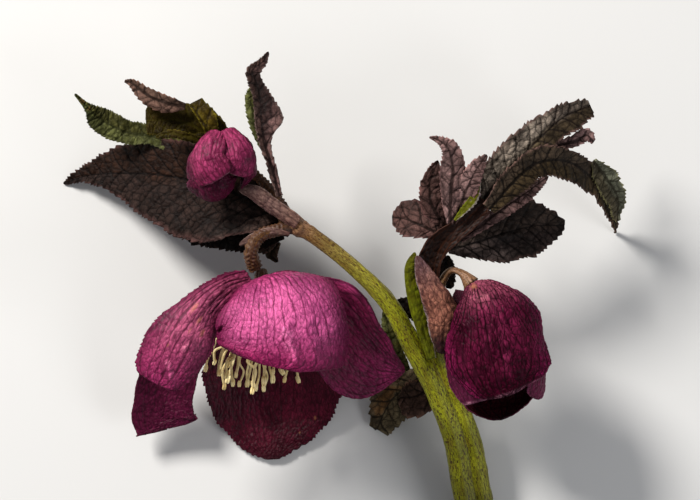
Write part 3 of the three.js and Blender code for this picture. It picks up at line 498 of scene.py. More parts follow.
# A stem is a list of x, y, z and radius.
STEMS = {
    "main": [
        [33.5, -82, 3.1, 3.1],
        [29.2, -62.5, 7.5, 2.9],
        [26.4, -48, 12.5, 2.85],
        [21.8, -36, 18, 2.8],
        [15.2, -23, 24, 2.65],
        [8.8, -12.2, 28, 2.3],
        [-1.2, -2.6, 31.3, 2],
        [-9.8, 4, 32.3, 2],
        [-13.2, 6, 32.6, 2.5],
        [-17, 8.8, 33, 1.6],
    ],
    "side": [
        [38, -82, 2.6, 2.6],
        [33.9, -62.5, 7.3, 2.4],
        [31, -48, 12, 2.3],
        [26.4, -36, 17.5, 2.1],
        [22.2, -26.5, 21.5, 2],
        [21.5, -20, 24.5, 2],
        [22, -14, 26, 1.6],
        [22.7, -8.8, 27.6, 1.15],
        [25, -5.2, 28.8, 0.9],
        [28, -5.9, 29.6, 1],
        [30.4, -8.6, 30.4, 2.2],
    ],
    "open_flower": [
        [-14, 5.6, 33, 1.5],
        [-18, 5, 34.4, 1.6],
        [-22.4, 3.4, 35.2, 1.65],
        [-24.6, -0.5, 34.4, 1.7],
        [-23.6, -4.6, 31.8, 1.8],
    ],
    "bud": [
        [-15, 8, 33, 1.4],
        [-19, 14, 33, 1.3],
        [-25, 20.5, 33.8, 1.2],
        [-29, 26.5, 36.5, 1.2],
        [-31, 29.2, 37.5, 1.4],
    ],
}

# The middle of the rough knuckle where the stalks leave the main stem.
KNUCKLE = [-13.5, 6.2, 33]

# The anthers of the long stamens below the open flower.
LONG_STAMENS = [
    [-35.4, -29.6, 30],
    [-34, -32, 27],
    [-32.2, -32.2, 23],
    [-30.4, -31.4, 31],
    [-28.4, -34.4, 28],
    [-26.8, -33.8, 22],
    [-25, -34.6, 30],
    [-22.6, -32.4, 34],
    [-20.4, -33.4, 26],
    [-18.4, -33, 31],
    [-16, -32.6, 24],
    [-12.6, -31, 29],
]

# The parts of a flower's centre, as the values painted on them.
FILAMENT, CARPEL, DISC, NECTARY, ANTHER = 0.0, 0.2, 0.35, 0.6, 1.0

# ---------------------------------------------------------------- noise

def hashed(ix, iy, iz, seed):
    """A repeatable value from 0 to 1 for each lattice point."""
    n = ix * 374761393 + iy * 668265263 + iz * 2147483647 + seed * 1274126177
    n = (n ^ (n >> 13)) * 1274126177
    n = n ^ (n >> 16)
    return (n & 0xFFFFFF) / float(0xFFFFFF)


def noise(x, y, z, seed=0):
    """Smooth value noise from -1 to 1. Each use has a seed of its own, so that no two look alike."""
    x, y, z = np.broadcast_arrays(x, y, z)
    ix, iy, iz = (np.floor(a).astype(np.int64) for a in (x, y, z))
    fx, fy, fz = (a - np.floor(a) for a in (x, y, z))
    fx, fy, fz = (f * f * (3 - 2 * f) for f in (fx, fy, fz))
    total = 0
    for dx in (0, 1):
        for dy in (0, 1):
            for dz in (0, 1):
                weight = (fx if dx else 1 - fx) * (fy if dy else 1 - fy) * (fz if dz else 1 - fz)
                total = total + weight * hashed(ix + dx, iy + dy, iz + dz, seed)
    return total * 2 - 1


def cells(x, y, seed=0):
    """How far each point lies from the border between irregular cells, up to about 0.5."""
    ix, iy = np.floor(x).astype(np.int64), np.floor(y).astype(np.int64)
    nearest = np.full(x.shape, 9.0)
    second = np.full(x.shape, 9.0)
    for dx in (-1, 0, 1):
        for dy in (-1, 0, 1):
            cx = ix + dx + hashed(ix + dx, iy + dy, 0 * ix, seed)
            cy = iy + dy + hashed(ix + dx, iy + dy, 0 * ix + 1, seed)
            d = np.hypot(x - cx, y - cy)
            second = np.minimum(second, np.maximum(nearest, d))
            nearest = np.minimum(nearest, d)
    return second - nearest


def smooth(low, high, x):
    """0 below low and 1 above high, with a soft change between."""
    x = np.clip((x - low) / (high - low), 0, 1)
    return x * x * (3 - 2 * x)


# ---------------------------------------------------------------- curves

def sections(rows, t):
    """All columns of a list of sections at each t, on a smooth curve through them."""
    rows = np.array(rows, float)
    last = len(rows) - 1
    place = np.minimum(np.asarray(t) * last, last - 1e-9)
    i = np.floor(place).astype(int)
    f = (place - i)[:, None]
    padded = np.vstack([2 * rows[0] - rows[1], rows, 2 * rows[-1] - rows[-2]])
    a, b, c, d = (padded[i + k] for k in range(4))
    return b + 0.5 * f * (c - a + f * (2 * a - 5 * b + 4 * c - d + f * (3 * (b - c) + d - a)))


def curve_length(rows):
    """The length of the straight lines between sections."""
    return np.linalg.norm(np.diff(rows[:, :3], axis=0), axis=1).sum()


def unit(v):
    """The direction of each vector, with a length of 1."""
    return v / np.maximum(np.linalg.norm(v, axis=-1, keepdims=True), 1e-12)


def frames(rows, t):
    """Tangent, rightward and upward vectors along a curve. They turn no more than it does."""
    step = 0.005
    ahead = sections(rows, np.minimum(t + step, 1))[:, :3]
    behind = sections(rows, np.maximum(t - step, 0))[:, :3]
    tangent = unit(ahead - behind)
    right = np.zeros_like(tangent)
    middle = len(t) // 2
    right[middle] = unit(np.array([tangent[middle][1], -tangent[middle][0], 0]))
    for order in (range(middle + 1, len(t)), range(middle - 1, -1, -1)):
        for i in order:
            before = right[i - 1] if i > middle else right[i + 1]
            right[i] = unit(before - tangent[i] * before.dot(tangent[i]))
    return tangent, right, np.cross(right, tangent)


# ---------------------------------------------------------------- meshes

def make_object(name, vertices, faces, layers, uv, material, node):
    """A mesh object from plant coordinates in millimetres, tied to the CAD node it stands for. Each layer
    holds four values for each vertex, which the material reads by the layer's name."""
    mesh = bpy.data.meshes.new(name)
    mesh.from_pydata(((vertices + ORIGIN) * MM).tolist(), [], faces)
    for key, values in layers.items():
        colour = mesh.color_attributes.new(key, "FLOAT_COLOR", "POINT")
        colour.data.foreach_set("color", values.astype(np.float32).ravel())
    layer = mesh.uv_layers.new(name="Blade")
    corner = np.empty(len(mesh.loops), dtype=np.int32)
    mesh.loops.foreach_get("vertex_index", corner)
    layer.data.foreach_set("uv", uv[corner].astype(np.float32).ravel())
    mesh.polygons.foreach_set("use_smooth", [True] * len(mesh.polygons))
    mesh.materials.append(material)
    mesh.update()
    piece = bpy.data.objects.new(name, mesh)
    bpy.context.scene.collection.objects.link(piece)
    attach(piece, "root")
    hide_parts(node)


def sheet_faces(rows, columns):
    """Quads of a closed sheet whose top grid comes first, then its bottom grid."""
    count = rows * columns
    grid = np.arange(count).reshape(rows, columns)
    a, b, c, d = grid[:-1, :-1], grid[1:, :-1], grid[1:, 1:], grid[:-1, 1:]
    top = np.stack([a, d, c, b], -1).reshape(-1, 4)
    bottom = np.stack([a, b, c, d], -1).reshape(-1, 4) + count
    rim = np.concatenate([grid[:, 0], grid[-1, 1:], grid[-2::-1, -1], grid[0, -2:0:-1]])
    after = np.roll(rim, -1)
    sides = np.stack([rim, rim + count, after + count, after], -1)
    return np.concatenate([top, bottom, sides[:, ::-1]]).tolist()


# ---------------------------------------------------------------- blades

def lay_out(shape, seed):
    """A blade's grid: T runs from 0 at the base to 1 at the tip, V from -1 at the left edge to 1 at the
    right. The distances are in millimetres."""
    columns = 8
    rows = np.array([row + [0] * (columns - len(row)) for row in shape["rows"]], float)
    length = curve_length(rows)
    widest = (rows[:, 3] + rows[:, 4]).max()
    t = np.linspace(0, 1, max(12, int(length / CELL)) + 1)
    v = np.linspace(-1, 1, max(6, int(widest / CELL)) // 2 * 2 + 1)
    g = SimpleNamespace(seed=seed, fold=math.radians(shape.get("fold", 0)), at=sections(rows, t))
    g.T, g.V = np.meshgrid(t, v, indexing="ij")
    g.reach = np.abs(g.V)
    g.along = g.T * length
    g.side = np.sign(g.V)

    g.tangent, right, up = frames(rows, t)
    roll = np.radians(-g.at[:, 7])[:, None]
    g.right = right * np.cos(roll) - up * np.sin(roll)
    g.up = up * np.cos(roll) + right * np.sin(roll)

    tip = shape["tip"]
    taper = np.sqrt(np.maximum(0.002, 1 - np.clip((t - 1 + tip) / tip, 0, 1) ** 2))
    rightward = v[None, :] > 0
    g.half = np.maximum(np.where(rightward, g.at[:, 4:5], g.at[:, 3:4]), 0.15) * taper[:, None]
    g.across = g.V * g.half
    g.curl = np.radians(np.where(rightward, g.at[:, 6:7], g.at[:, 5:6]))
    g.curl = np.where(np.abs(g.curl) < 1e-3, 1e-3, g.curl)
    g.wobble = noise(g.along * 0.35, g.side * 3.0, seed * 7.1, 11)
    return g


def teeth(g, style):
    """How far the margin's teeth stand out. Each rises slowly towards the tip and drops at once."""
    height, pitch = style["teeth"]
    phase = g.along / pitch + 0.9 * g.wobble + np.where(g.V > 0, 0.37, 0)
    saw = phase - np.floor(phase)
    size = 0.75 + 0.3 * noise(np.floor(phase) * 1.7, g.side * 5.0, g.seed * 3.3, 12)
    tooth = height * size * np.minimum(saw, (1 - saw) * 5)
    return tooth * smooth(0.75, 1, g.reach) * smooth(0.04, 0.12, g.T) * smooth(0.2, 1.2, g.half)


def bent_sheet(g, style, tooth):
    """The points of the sheet. Each half leaves the midrib at the fold's angle, then curls."""
    ragged = style["ragged"] * noise(g.along * 0.22, g.side * 2.0, g.seed * 1.7, 13) * g.reach
    half = g.half + (tooth + ragged * np.minimum(g.half / 3, 1))
    turned = g.fold + g.curl * g.reach
    out = half / g.curl * (np.sin(turned) - math.sin(g.fold)) * g.side
    lift = half / g.curl * (math.cos(g.fold) - np.cos(turned))
    point = g.at[:, None, :3] + g.right[:, None, :] * out[..., None] + g.up[:, None, :] * lift[..., None]
    forward = tooth * 0.6
    return point + g.tangent[:, None, :] * forward[..., None]


def ridge(point, x0, y0, x1, y1, height, breadth):
    """A rounded crease from one point to another. It swells at first and sinks at its end."""
    span = np.array([x1 - x0, y1 - y0])
    offset = point[..., :2] - np.array([x0, y0])
    share = np.clip(offset.dot(span) / span.dot(span), 0, 1)
    gap = np.hypot(offset[..., 0] - share * span[0], offset[..., 1] - share * span[1])
    swell = smooth(0, 0.25, share) * (1 - 0.6 * smooth(0.75, 1, share))
    return height * swell * np.exp(-(gap / breadth) ** 2)


def waved(g, style, ridges, point):
    """How far the sheet stands off its plain curve in waves, ridges and a frilled margin."""
    bend = 0
    for k, (amount, scale) in enumerate(style["waves"]):
        bend = bend + amount * noise(g.along / scale, g.across / scale, g.seed * 1.3 + k * 9, 20 + k)
    bend = bend * smooth(0, 0.15, g.T)
    for values in ridges:
        bend = bend + ridge(point, *values)
    frill, pitch = style["frill"]
    wave = np.sin(g.along / pitch * 6.28 + g.seed + 1.5 * g.wobble)
    return bend + frill * wave * smooth(0.55, 1, g.reach)


def patches(g, marks, top):
    """The share of warm, dark and pale colour at each point, from marks given as x, y and radius."""
    flat = top.reshape(-1, 3)
    shares = np.zeros((len(flat), 4))
    for k, kind in enumerate(("warm", "dark", "pale")):
        for x, y, radius in marks.get(kind, []):
            centre = np.hypot(flat[:, 0] - x, flat[:, 1] - y).argmin()
            offset = (g.along - g.along.ravel()[centre]) / 2.6, g.across - g.across.ravel()[centre]
            ragged = 1 + 0.6 * noise(g.along * 0.8, g.across * 1.6, k * 5.0, 41)
            patch = 1 - smooth(0.1, 1.0, np.hypot(*offset) / (radius * ragged))
            shares[:, k] = np.maximum(shares[:, k], patch.ravel())
    return shares


def blade(name, shape, material, seed):
    """One leaf or sepal: a thin sheet bent along its midrib, with teeth, veins and folds."""
    style = STYLES[shape["style"]]
    g = lay_out(shape, seed)
    point = bent_sheet(g, style, teeth(g, style))
    normal = unit(np.cross(np.gradient(point, axis=1), np.gradient(point, axis=0)))

    spread = shape.get("gather", 1.0)
    spread = spread + (1 - spread) * smooth(0, 0.8, g.T)
    vein, relief = style["veins"](g.T, g.V / spread, g.half * spread, g.along, g.across, seed)
    bend = waved(g, style, RIDGES.get(name, []), point)
    thick = style["thickness"] * (0.35 + 0.65 * (1 - smooth(0.8, 1, g.reach) * 0.7))
    thick = np.minimum(thick, g.half * 0.9 + 0.1)
    surface = point + normal * (bend + relief)[..., None]
    top = surface + normal * (thick / 2)[..., None]
    bottom = surface - normal * (thick / 2)[..., None]

    # Which half of the blade each point lies on, with a ragged border along the midrib. The bracts paint
    # one half in another tone than the other with it, as painted light and shade; the sheaths with a
    # one-sided margin use it too.
    which_half = smooth(-0.25, 0.25, g.V + 0.3 * noise(g.along / 5, g.across / 5, seed * 2.1, 31))
    paint = np.stack([vein, g.T, g.reach, which_half], -1).reshape(-1, 4)
    patches_and_painted_light = patches(g, MARKS.get(name, {}), top)
    unspotted = patches_and_painted_light * 0
    layers = {"paint": np.concatenate([paint, paint]), "patches_and_painted_light": np.concatenate([patches_and_painted_light, unspotted])}
    uv = np.stack([g.along.ravel(), g.across.ravel()], -1) * UV_PER_MM
    vertices = np.concatenate([top.reshape(-1, 3), bottom.reshape(-1, 3)])
    faces = sheet_faces(*g.T.shape)
    make_object(name, vertices, faces, layers, np.concatenate([uv, uv]), material, name)


# ---------------------------------------------------------------- veins

def line(distance, width):
    """A soft line of a given width in millimetres."""
    return 1 - smooth(0.35, 1.0, np.abs(distance) / width)


# A sepal's veins by order: the share of the length at which they start, their strength, width and gaps.
VEIN_ORDERS = ((0.0, 1.0, 0.30, 0.2), (0.25, 0.8, 0.24, 0.45), (0.5, 0.5, 0.20, 0.6))


def sepal_veins(T, V, half, along, across, seed):
    """Veins that fan out from the base and fork, with a faint net between them."""
    sway = 0.12 * noise(along * 0.10, V * 2, seed * 1.9, 51)
    sway = sway + 0.03 * noise(along * 0.35, V * 5, seed * 1.1, 54)
    vein = np.zeros_like(T)
    count = max(3, round(2 * half.max() / 2.8))
    for start, strength, width, gaps in VEIN_ORDERS:
        phase = (V + sway) * count / 2 + 0.5
        offset = (phase - np.floor(phase) - 0.5) * 2 * half / count
        fork = smooth(start, start + 0.12, T + 0.12 * noise(np.floor(phase) * 3.1, seed * 1.0, 0.0, 55))
        broken = 0.95 - gaps + (gaps + 0.1) * noise(along * 0.3, np.floor(phase) * 2.3, seed * 2.2, 52)
        vein = np.maximum(vein, line(offset, width) * strength * fork * np.clip(broken, 0, 1))
        count *= 2
    net = cells(along / 2.3 + 40, across / 1.5 + 40, seed)
    vein = np.maximum(vein, (1 - smooth(0.02, 0.14, net)) * 0.3 * smooth(0.15, 0.5, T))
    relief = -0.14 * vein + 0.12 * smooth(0.0, 0.5, net)
    relief = relief + 0.10 * noise(along * 0.7, across * 1.2, seed, 53)
    return vein, relief


def leaf_veins(T, V, half, along, across, seed):
    """A midrib, side veins that curve forward and a strong net with raised pads between."""
    vein = line(across, 0.55 * (1.2 - 0.7 * T))
    gap = 4.2
    ahead = along - np.abs(across) * 1.15 + 0.35 * half * np.abs(V) ** 2
    ahead = ahead + 0.6 * noise(along * 0.2, across * 0.3, seed, 61)
    phase = ahead / gap + np.where(V > 0, 0.4, 0.0)
    offset = (phase - np.floor(phase) - 0.5) * gap * 0.7
    second = line(offset, 0.34) * 0.85 * (1 - smooth(0.85, 1.0, np.abs(V)))
    vein = np.maximum(vein, second)
    warp = 0.35 * noise(along * 0.7, across * 0.7, seed * 1.4, 62)
    net = cells(along / 1.9 + 50 + warp, across / 1.9 + 50 - warp, seed + 3)
    small = cells(along / 0.95 + 70, across / 0.95 + 70, seed + 5)
    third = 1 - smooth(0.03, 0.2, net)
    fourth = 1 - smooth(0.03, 0.22, small)
    vein = np.maximum(vein, np.maximum(third * 0.6, fourth * 0.3))
    relief = 0.16 * smooth(0.0, 0.5, net) + 0.05 * smooth(0.0, 0.4, small) - 0.25 * second
    relief = relief - 0.12 * line(across, 0.7)
    return vein, relief


# How each kind of blade is made, in millimetres: the height and pitch of its teeth, how uneven its outline
# is, its veins, the height and length of its waves and of its frill, and its thickness.
SEPAL = {
    "teeth": (0.75, 1.5),
    "ragged": 0.5,
    "veins": sepal_veins,
    "waves": ((0.45, 9.0), (0.22, 3.6)),
    "frill": (0.0, 5.0),
    "thickness": 0.5,
}
LEAF = {
    "teeth": (1.0, 1.6),
    "ragged": 0.5,
    "veins": leaf_veins,
    "waves": ((0.5, 8.0), (0.3, 3.0)),
    "frill": (0.25, 6.0),
    "thickness": 0.45,
}
SMOOTH_SEPAL = dict(SEPAL, teeth=(0.15, 1.4), ragged=0.35)
BUD_SEPAL = dict(SEPAL, teeth=(0.0, 1.5), ragged=0.25, waves=((0.35, 4.0), (0.2, 1.6)))
FINE_LEAF = dict(LEAF, teeth=(0.6, 1.25), ragged=0.25, waves=((0.25, 5.0), (0.15, 2.0)), frill=(0.1, 5.0))
SHEATH = dict(SEPAL, teeth=(0.0, 1.0), ragged=0.2, waves=((0.3, 6.0), (0.15, 2.0)), thickness=0.45)
STYLES = {
    "sepal": SEPAL,
    "smooth_sepal": SMOOTH_SEPAL,
    "bud_sepal": BUD_SEPAL,
    "leaf": LEAF,
    "fine_leaf": FINE_LEAF,
    "sheath": SHEATH,
}


# ---------------------------------------------------------------- materials

class Nodes:
    """A short way to write a material's node tree."""

    def __init__(self, name):
        self.material = bpy.data.materials.new(name)
        self.material.use_nodes = True
        self.tree = self.material.node_tree
        self.shader = self.tree.nodes["Principled BSDF"]

    def add(self, kind, **values):
        node = self.tree.nodes.new(kind)
        for key, value in values.items():
            setattr(node, key, value)
        return node

    def link(self, output, target):
        self.tree.links.new(output, target)

    def set(self, target, value):
        """Links an output to a socket, or gives the socket a constant."""
        if isinstance(value, bpy.types.NodeSocket):
            self.link(value, target)
        elif isinstance(value, tuple) and len(value) == 3 and target.type == "RGBA":
            target.default_value = (*value, 1)
        else:
            target.default_value = value

    def math(self, operation, a, b):
        node = self.add("ShaderNodeMath", operation=operation)
        self.set(node.inputs[0], a)
        self.set(node.inputs[1], b)
        return node.outputs[0]

    def times(self, a, b):
        return self.math("MULTIPLY", a, b)

    def plus(self, a, b):
        return self.math("ADD", a, b)

    def rest(self, a):
        return self.math("SUBTRACT", 1.0, a)

    def ramp(self, value, low, high, to_low=0.0, to_high=1.0):
        """to_low below low and to_high above high, with a soft change between."""
        node = self.add("ShaderNodeMapRange", interpolation_type="SMOOTHSTEP")
        for target, given in zip(node.inputs, (value, low, high, to_low, to_high)):
            self.set(target, given)
        return node.outputs[0]

    def mix(self, share, a, b, blend="MIX"):
        node = self.add("ShaderNodeMix", data_type="RGBA", blend_type=blend)
        self.set(node.inputs[0], share)
        self.set(node.inputs[6], a)
        self.set(node.inputs[7], b)
        return node.outputs[2]

    def tint(self, share, colour, factors):
        """The colour, multiplied channel by channel over a share of the surface."""
        return self.mix(share, colour, factors, "MULTIPLY")

    def paint(self, name):
        """The four values painted on the mesh under a name."""
        node = self.add("ShaderNodeVertexColor", layer_name=name)
        parts = self.add("ShaderNodeSeparateColor")
        self.link(node.outputs["Color"], parts.inputs[0])
        return parts.outputs[0], parts.outputs[1], parts.outputs[2], node.outputs["Alpha"]

    def noise(self, scale, detail, roughness, vector=None):
        """Noise over the blade's own coordinates, or over the object's where none are given."""
        node = self.add("ShaderNodeTexNoise")
        node.inputs["Scale"].default_value = scale
        node.inputs["Detail"].default_value = detail
        node.inputs["Roughness"].default_value = roughness
        self.link(vector or self.add("ShaderNodeTexCoord").outputs["Object"], node.inputs["Vector"])
        return node.outputs["Fac"]

    def streaks(self, along, across):
        """The blade's own coordinates, stretched so that noise makes streaks along it."""
        uv = self.add("ShaderNodeUVMap", uv_map="Blade")
        mapping = self.add("ShaderNodeMapping")
        self.link(uv.outputs[0], mapping.inputs["Vector"])
        mapping.inputs["Scale"].default_value = (along, across, 1)
        return mapping.outputs[0]

    def net(self, size, warp, stretch=1.0):
        """How far a point of a blade lies from the border of irregular cells of a size in millimetres."""
        vector = self.streaks(1 / stretch, 1)
        shift = self.add("ShaderNodeTexNoise")
        shift.inputs["Scale"].default_value = 60 / size
        self.link(vector, shift.inputs["Vector"])
        moved = self.add("ShaderNodeVectorMath", operation="MULTIPLY_ADD")
        self.link(shift.outputs["Color"], moved.inputs[0])
        moved.inputs[1].default_value = (UV_PER_MM * warp, UV_PER_MM * warp, 0)
        self.link(vector, moved.inputs[2])
        node = self.add("ShaderNodeTexVoronoi", feature="DISTANCE_TO_EDGE", voronoi_dimensions="2D")
        node.inputs["Scale"].default_value = 1 / (UV_PER_MM * size)
        self.link(moved.outputs[0], node.inputs["Vector"])
        return node.outputs["Distance"]

    def finish(self, colour, roughness, bump=None, strength=0.5, distance=0.0003, specular=0.5):
        self.set(self.shader.inputs["Base Color"], colour)
        self.set(self.shader.inputs["Roughness"], roughness)
        self.shader.inputs["Specular IOR Level"].default_value = specular
        if bump is not None:
            node = self.add("ShaderNodeBump")
            node.inputs["Strength"].default_value = strength
            node.inputs["Distance"].default_value = distance
            self.link(bump, node.inputs["Height"])
            self.link(node.outputs[0], self.shader.inputs["Normal"])
        return self.material


def sepal_material(name, base, body, tip, vein, margin, mottle_and_crease_shade=0.4, rim=0.5, rim_from=0.7, veined=0.85,
                   blotch=0.0, rim_side=0, lip=0.0, shine=0.10):
    """A sepal: colours that change from base to tip, dark veins, a margin of its own colour, mottling, and
    painted shade in the creases of its crinkles. rim_side keeps the margin to the right half (1) or the
    left (-1), and lip is how much of a broken pale line, a painted highlight, runs along the tip's edge."""
    n = Nodes(name)
    veins, along, edge, half = n.paint("paint")
    # The pale patches are painted highlights, and the dark ones on bud_sepal_lower painted shade.
    warm, dark, pale = n.paint("patches_and_painted_light")[:3]
    grain = n.noise(1300, 4, 0.65)
    streak = n.noise(55, 5, 0.7, n.streaks(1, 2.6))
    clouds = n.noise(170, 3, 0.6)
    crinkle = n.net(1.0, 0.8, 1.8)
    # The creases of the crinkles, which are painted dark below as painted shade.
    creases = n.rest(n.ramp(crinkle, 0.0, 0.13))
    colour = n.mix(n.ramp(along, 0.03, 0.35), base, body)
    colour = n.mix(n.ramp(along, 0.5, 1.0), colour, tip)
    rim_share = n.times(n.ramp(edge, rim_from, 1.0), rim)
    if rim_side:
        rim_share = n.times(rim_share, half if rim_side > 0 else n.rest(half))
    colour = n.mix(rim_share, colour, margin)
    # Painted highlights where the pale patches lie.
    colour = n.tint(n.times(pale, 0.85), colour, (2.2, 3.6, 2.5))
    # A broken pale line painted along the tip's edge: a painted highlight.
    if lip:
        broken_highlight = n.ramp(n.noise(420, 4, 0.7), 0.42, 0.56, 0.25, 1.0)
        edge_highlight = n.times(n.ramp(along, 0.955, 0.985), broken_highlight)
        colour = n.mix(n.times(edge_highlight, lip), colour, (0.46, 0.20, 0.27))
    if blotch:
        blotches = n.ramp(n.noise(75, 4, 0.65), 0.4, 0.56)
        colour = n.tint(n.times(blotches, blotch), colour, (0.38, 0.25, 0.33))
    shade = n.ramp(n.plus(n.times(streak, 0.6), n.times(clouds, 0.4)), 0.38, 0.62)
    low, high = 1 - mottle_and_crease_shade, 1 + mottle_and_crease_shade * 0.5
    colour = n.tint(1.0, colour, n.mix(shade, (low, low * 0.8, low), (high, high, high)))
    colour = n.tint(n.times(n.ramp(grain, 0.52, 0.68), 0.5), colour, (1.6, 1.9, 1.7))
    # Painted shade in the creases of the crinkles, in the veins' colour.
    colour = n.mix(n.times(creases, mottle_and_crease_shade), colour, vein)
    colour = n.mix(n.ramp(veins, 0.15, 0.8, 0.0, veined), colour, vein)
    colour = n.mix(n.times(warm, 0.5), colour, (0.50, 0.20, 0.09))
    # Dark patches; those on bud_sepal_lower are painted shade.
    colour = n.mix(n.times(dark, 0.8), colour, (0.034, 0.003, 0.011))
    rough = n.ramp(clouds, 0.3, 0.7, 0.42, 0.6)
    height = n.plus(n.times(n.ramp(crinkle, 0.0, 0.35), 0.6), n.times(grain, 0.4))
    return n.finish(colour, rough, height, 0.5, 0.00025, shine)


def leaf_material(name, pad, vein, margin, other):
    """A bract: pads between dark sunken veins, one half of the blade in another colour than the other
    as painted light and shade.
    """
    n = Nodes(name)
    veins, _, edge, half = n.paint("paint")
    warm, dark, pale = n.paint("patches_and_painted_light")[:3]
    grain = n.noise(1500, 4, 0.65)
    clouds = n.noise(150, 4, 0.6)
    wide = n.net(1.9, 1.6, 1.25)
    fine = n.net(0.75, 0.6)
    borders = n.rest(n.ramp(wide, 0.0, 0.075))
    threads = n.rest(n.ramp(fine, 0.0, 0.12))
    # The two halves in their own tones: painted light and shade, as if one half faced the light more than
    # the other.
    colour = n.mix(half, pad, other)
    # Pale patches lighten the pads; those on right_lobe_upper are painted highlights.
    colour = n.tint(n.times(pale, 0.85), colour, (4.0, 4.2, 4.2))
    colour = n.mix(n.times(warm, 0.85), colour, (0.16, 0.075, 0.025))
    colour = n.mix(n.times(n.ramp(edge, 0.86, 1.0), 0.6), colour, margin)
    colour = n.tint(1.0, colour, n.mix(n.ramp(clouds, 0.38, 0.62), (0.6, 0.6, 0.6), (1.35, 1.35, 1.35)))
    # Each raised pad is painted lighter at its middle and darker towards the sunken veins round it: painted
    # light and shade on the relief.
    colour = n.tint(1.0, colour, n.mix(n.ramp(wide, 0.05, 0.4), (0.85, 0.85, 0.85), (1.3, 1.3, 1.3)))
    colour = n.tint(n.times(n.ramp(grain, 0.5, 0.68), 0.6), colour, (1.9, 1.85, 1.85))
    colour = n.mix(n.times(threads, 0.35), colour, vein)
    colour = n.mix(n.times(borders, n.ramp(clouds, 0.3, 0.6, 0.35, 0.9)), colour, vein)
    colour = n.mix(n.ramp(veins, 0.35, 0.85, 0.0, 0.85), colour, vein)
    # Dark patches; the one on right_lobe_upper is painted shade.
    colour = n.mix(n.times(dark, 0.8), colour, (0.004, 0.0025, 0.002))
    rough = n.ramp(clouds, 0.3, 0.7, 0.5, 0.7)
    height = n.plus(n.times(n.ramp(wide, 0.0, 0.3), 0.6), n.times(grain, 0.2))
    height = n.plus(height, n.times(n.ramp(fine, 0.0, 0.3), 0.2))
    return n.finish(colour, rough, height, 0.6, 0.0003, 0.06)


# ---------------------------------------------------------------- stems

def tube(rows, spacing, sides):
    """Vertices and faces of a closed tube along a list of x, y, z and radius."""
    rows = np.array(rows, float)
    count = max(3, int(curve_length(rows) / spacing)) + 1
    t = np.linspace(0, 1, count)
    at = sections(rows, t)
    _, right, up = frames(rows, t)
    angle = np.arange(sides) / sides * 2 * math.pi
    ring = right[:, None, :] * np.cos(angle)[None, :, None] + up[:, None, :] * np.sin(angle)[None, :, None]
    points = (at[:, None, :3] + ring * np.maximum(at[:, None, 3:4], 0.02)).reshape(-1, 3)
    grid = np.arange(count * sides).reshape(count, sides)
    ends = [grid[0, ::-1].tolist(), grid[-1].tolist()]
    return points, ring_walls(grid) + ends


def ring_walls(grid):
    """Quads between the rings of a grid of vertex numbers, one ring a row."""
    a, b = grid[:-1], grid[1:]
    return np.stack([a, np.roll(a, -1, 1), np.roll(b, -1, 1), b], -1).reshape(-1, 4).tolist()


def merged(parts):
    """One list of vertices and faces from several."""
    vertices, faces, start = [], [], 0
    for points, polygons in parts:
        vertices.append(points)
        faces += [[i + start for i in polygon] for polygon in polygons]
        start += len(points)
    return np.concatenate(vertices), faces


def fused(vertices, faces, voxel):
    """The outer skin of overlapping closed shells, as even quads, in millimetres."""
    mesh = bpy.data.meshes.new("fused")
    mesh.from_pydata((vertices * MM).tolist(), [], faces)
    piece = bpy.data.objects.new("fused", mesh)
    bpy.context.scene.collection.objects.link(piece)
    remesh = piece.modifiers.new("Remesh", "REMESH")
    remesh.mode = "VOXEL"
    remesh.voxel_size = voxel * MM
    even = piece.modifiers.new("Even", "SMOOTH")
    even.factor = 0.5
    even.iterations = 8
    made = piece.evaluated_get(bpy.context.evaluated_depsgraph_get()).to_mesh()
    points = np.empty(len(made.vertices) * 3)
    made.vertices.foreach_get("co", points)
    normals = np.empty(len(made.vertices) * 3)
    made.vertices.foreach_get("normal", normals)
    polygons = [list(p.vertices) for p in made.polygons]
    bpy.data.objects.remove(piece)
    bpy.data.meshes.remove(mesh)
    return points.reshape(-1, 3) / MM, normals.reshape(-1, 3), polygons


def stem_places(points, rows):
    """For each point: its gap from a stem's skin, its place along the stem in millimetres and as a share of
    the length, and its angle round the stem."""
    rows = np.array(rows, float)
    t = np.linspace(0, 1, 160)
    at = sections(rows, t)
    _, right, up = frames(rows, t)
    travelled = np.concatenate([[0], np.cumsum(np.linalg.norm(np.diff(at[:, :3], axis=0), axis=1))])
    offset = points[:, None, :] - at[None, :, :3]
    distance = np.linalg.norm(offset, axis=2) - at[None, :, 3]
    i = distance.argmin(1)
    every = np.arange(len(points))
    near = offset[every, i]
    angle = np.arctan2((near * right[i]).sum(1), -(near * up[i]).sum(1))
    return distance[every, i], travelled[i], t[i], angle


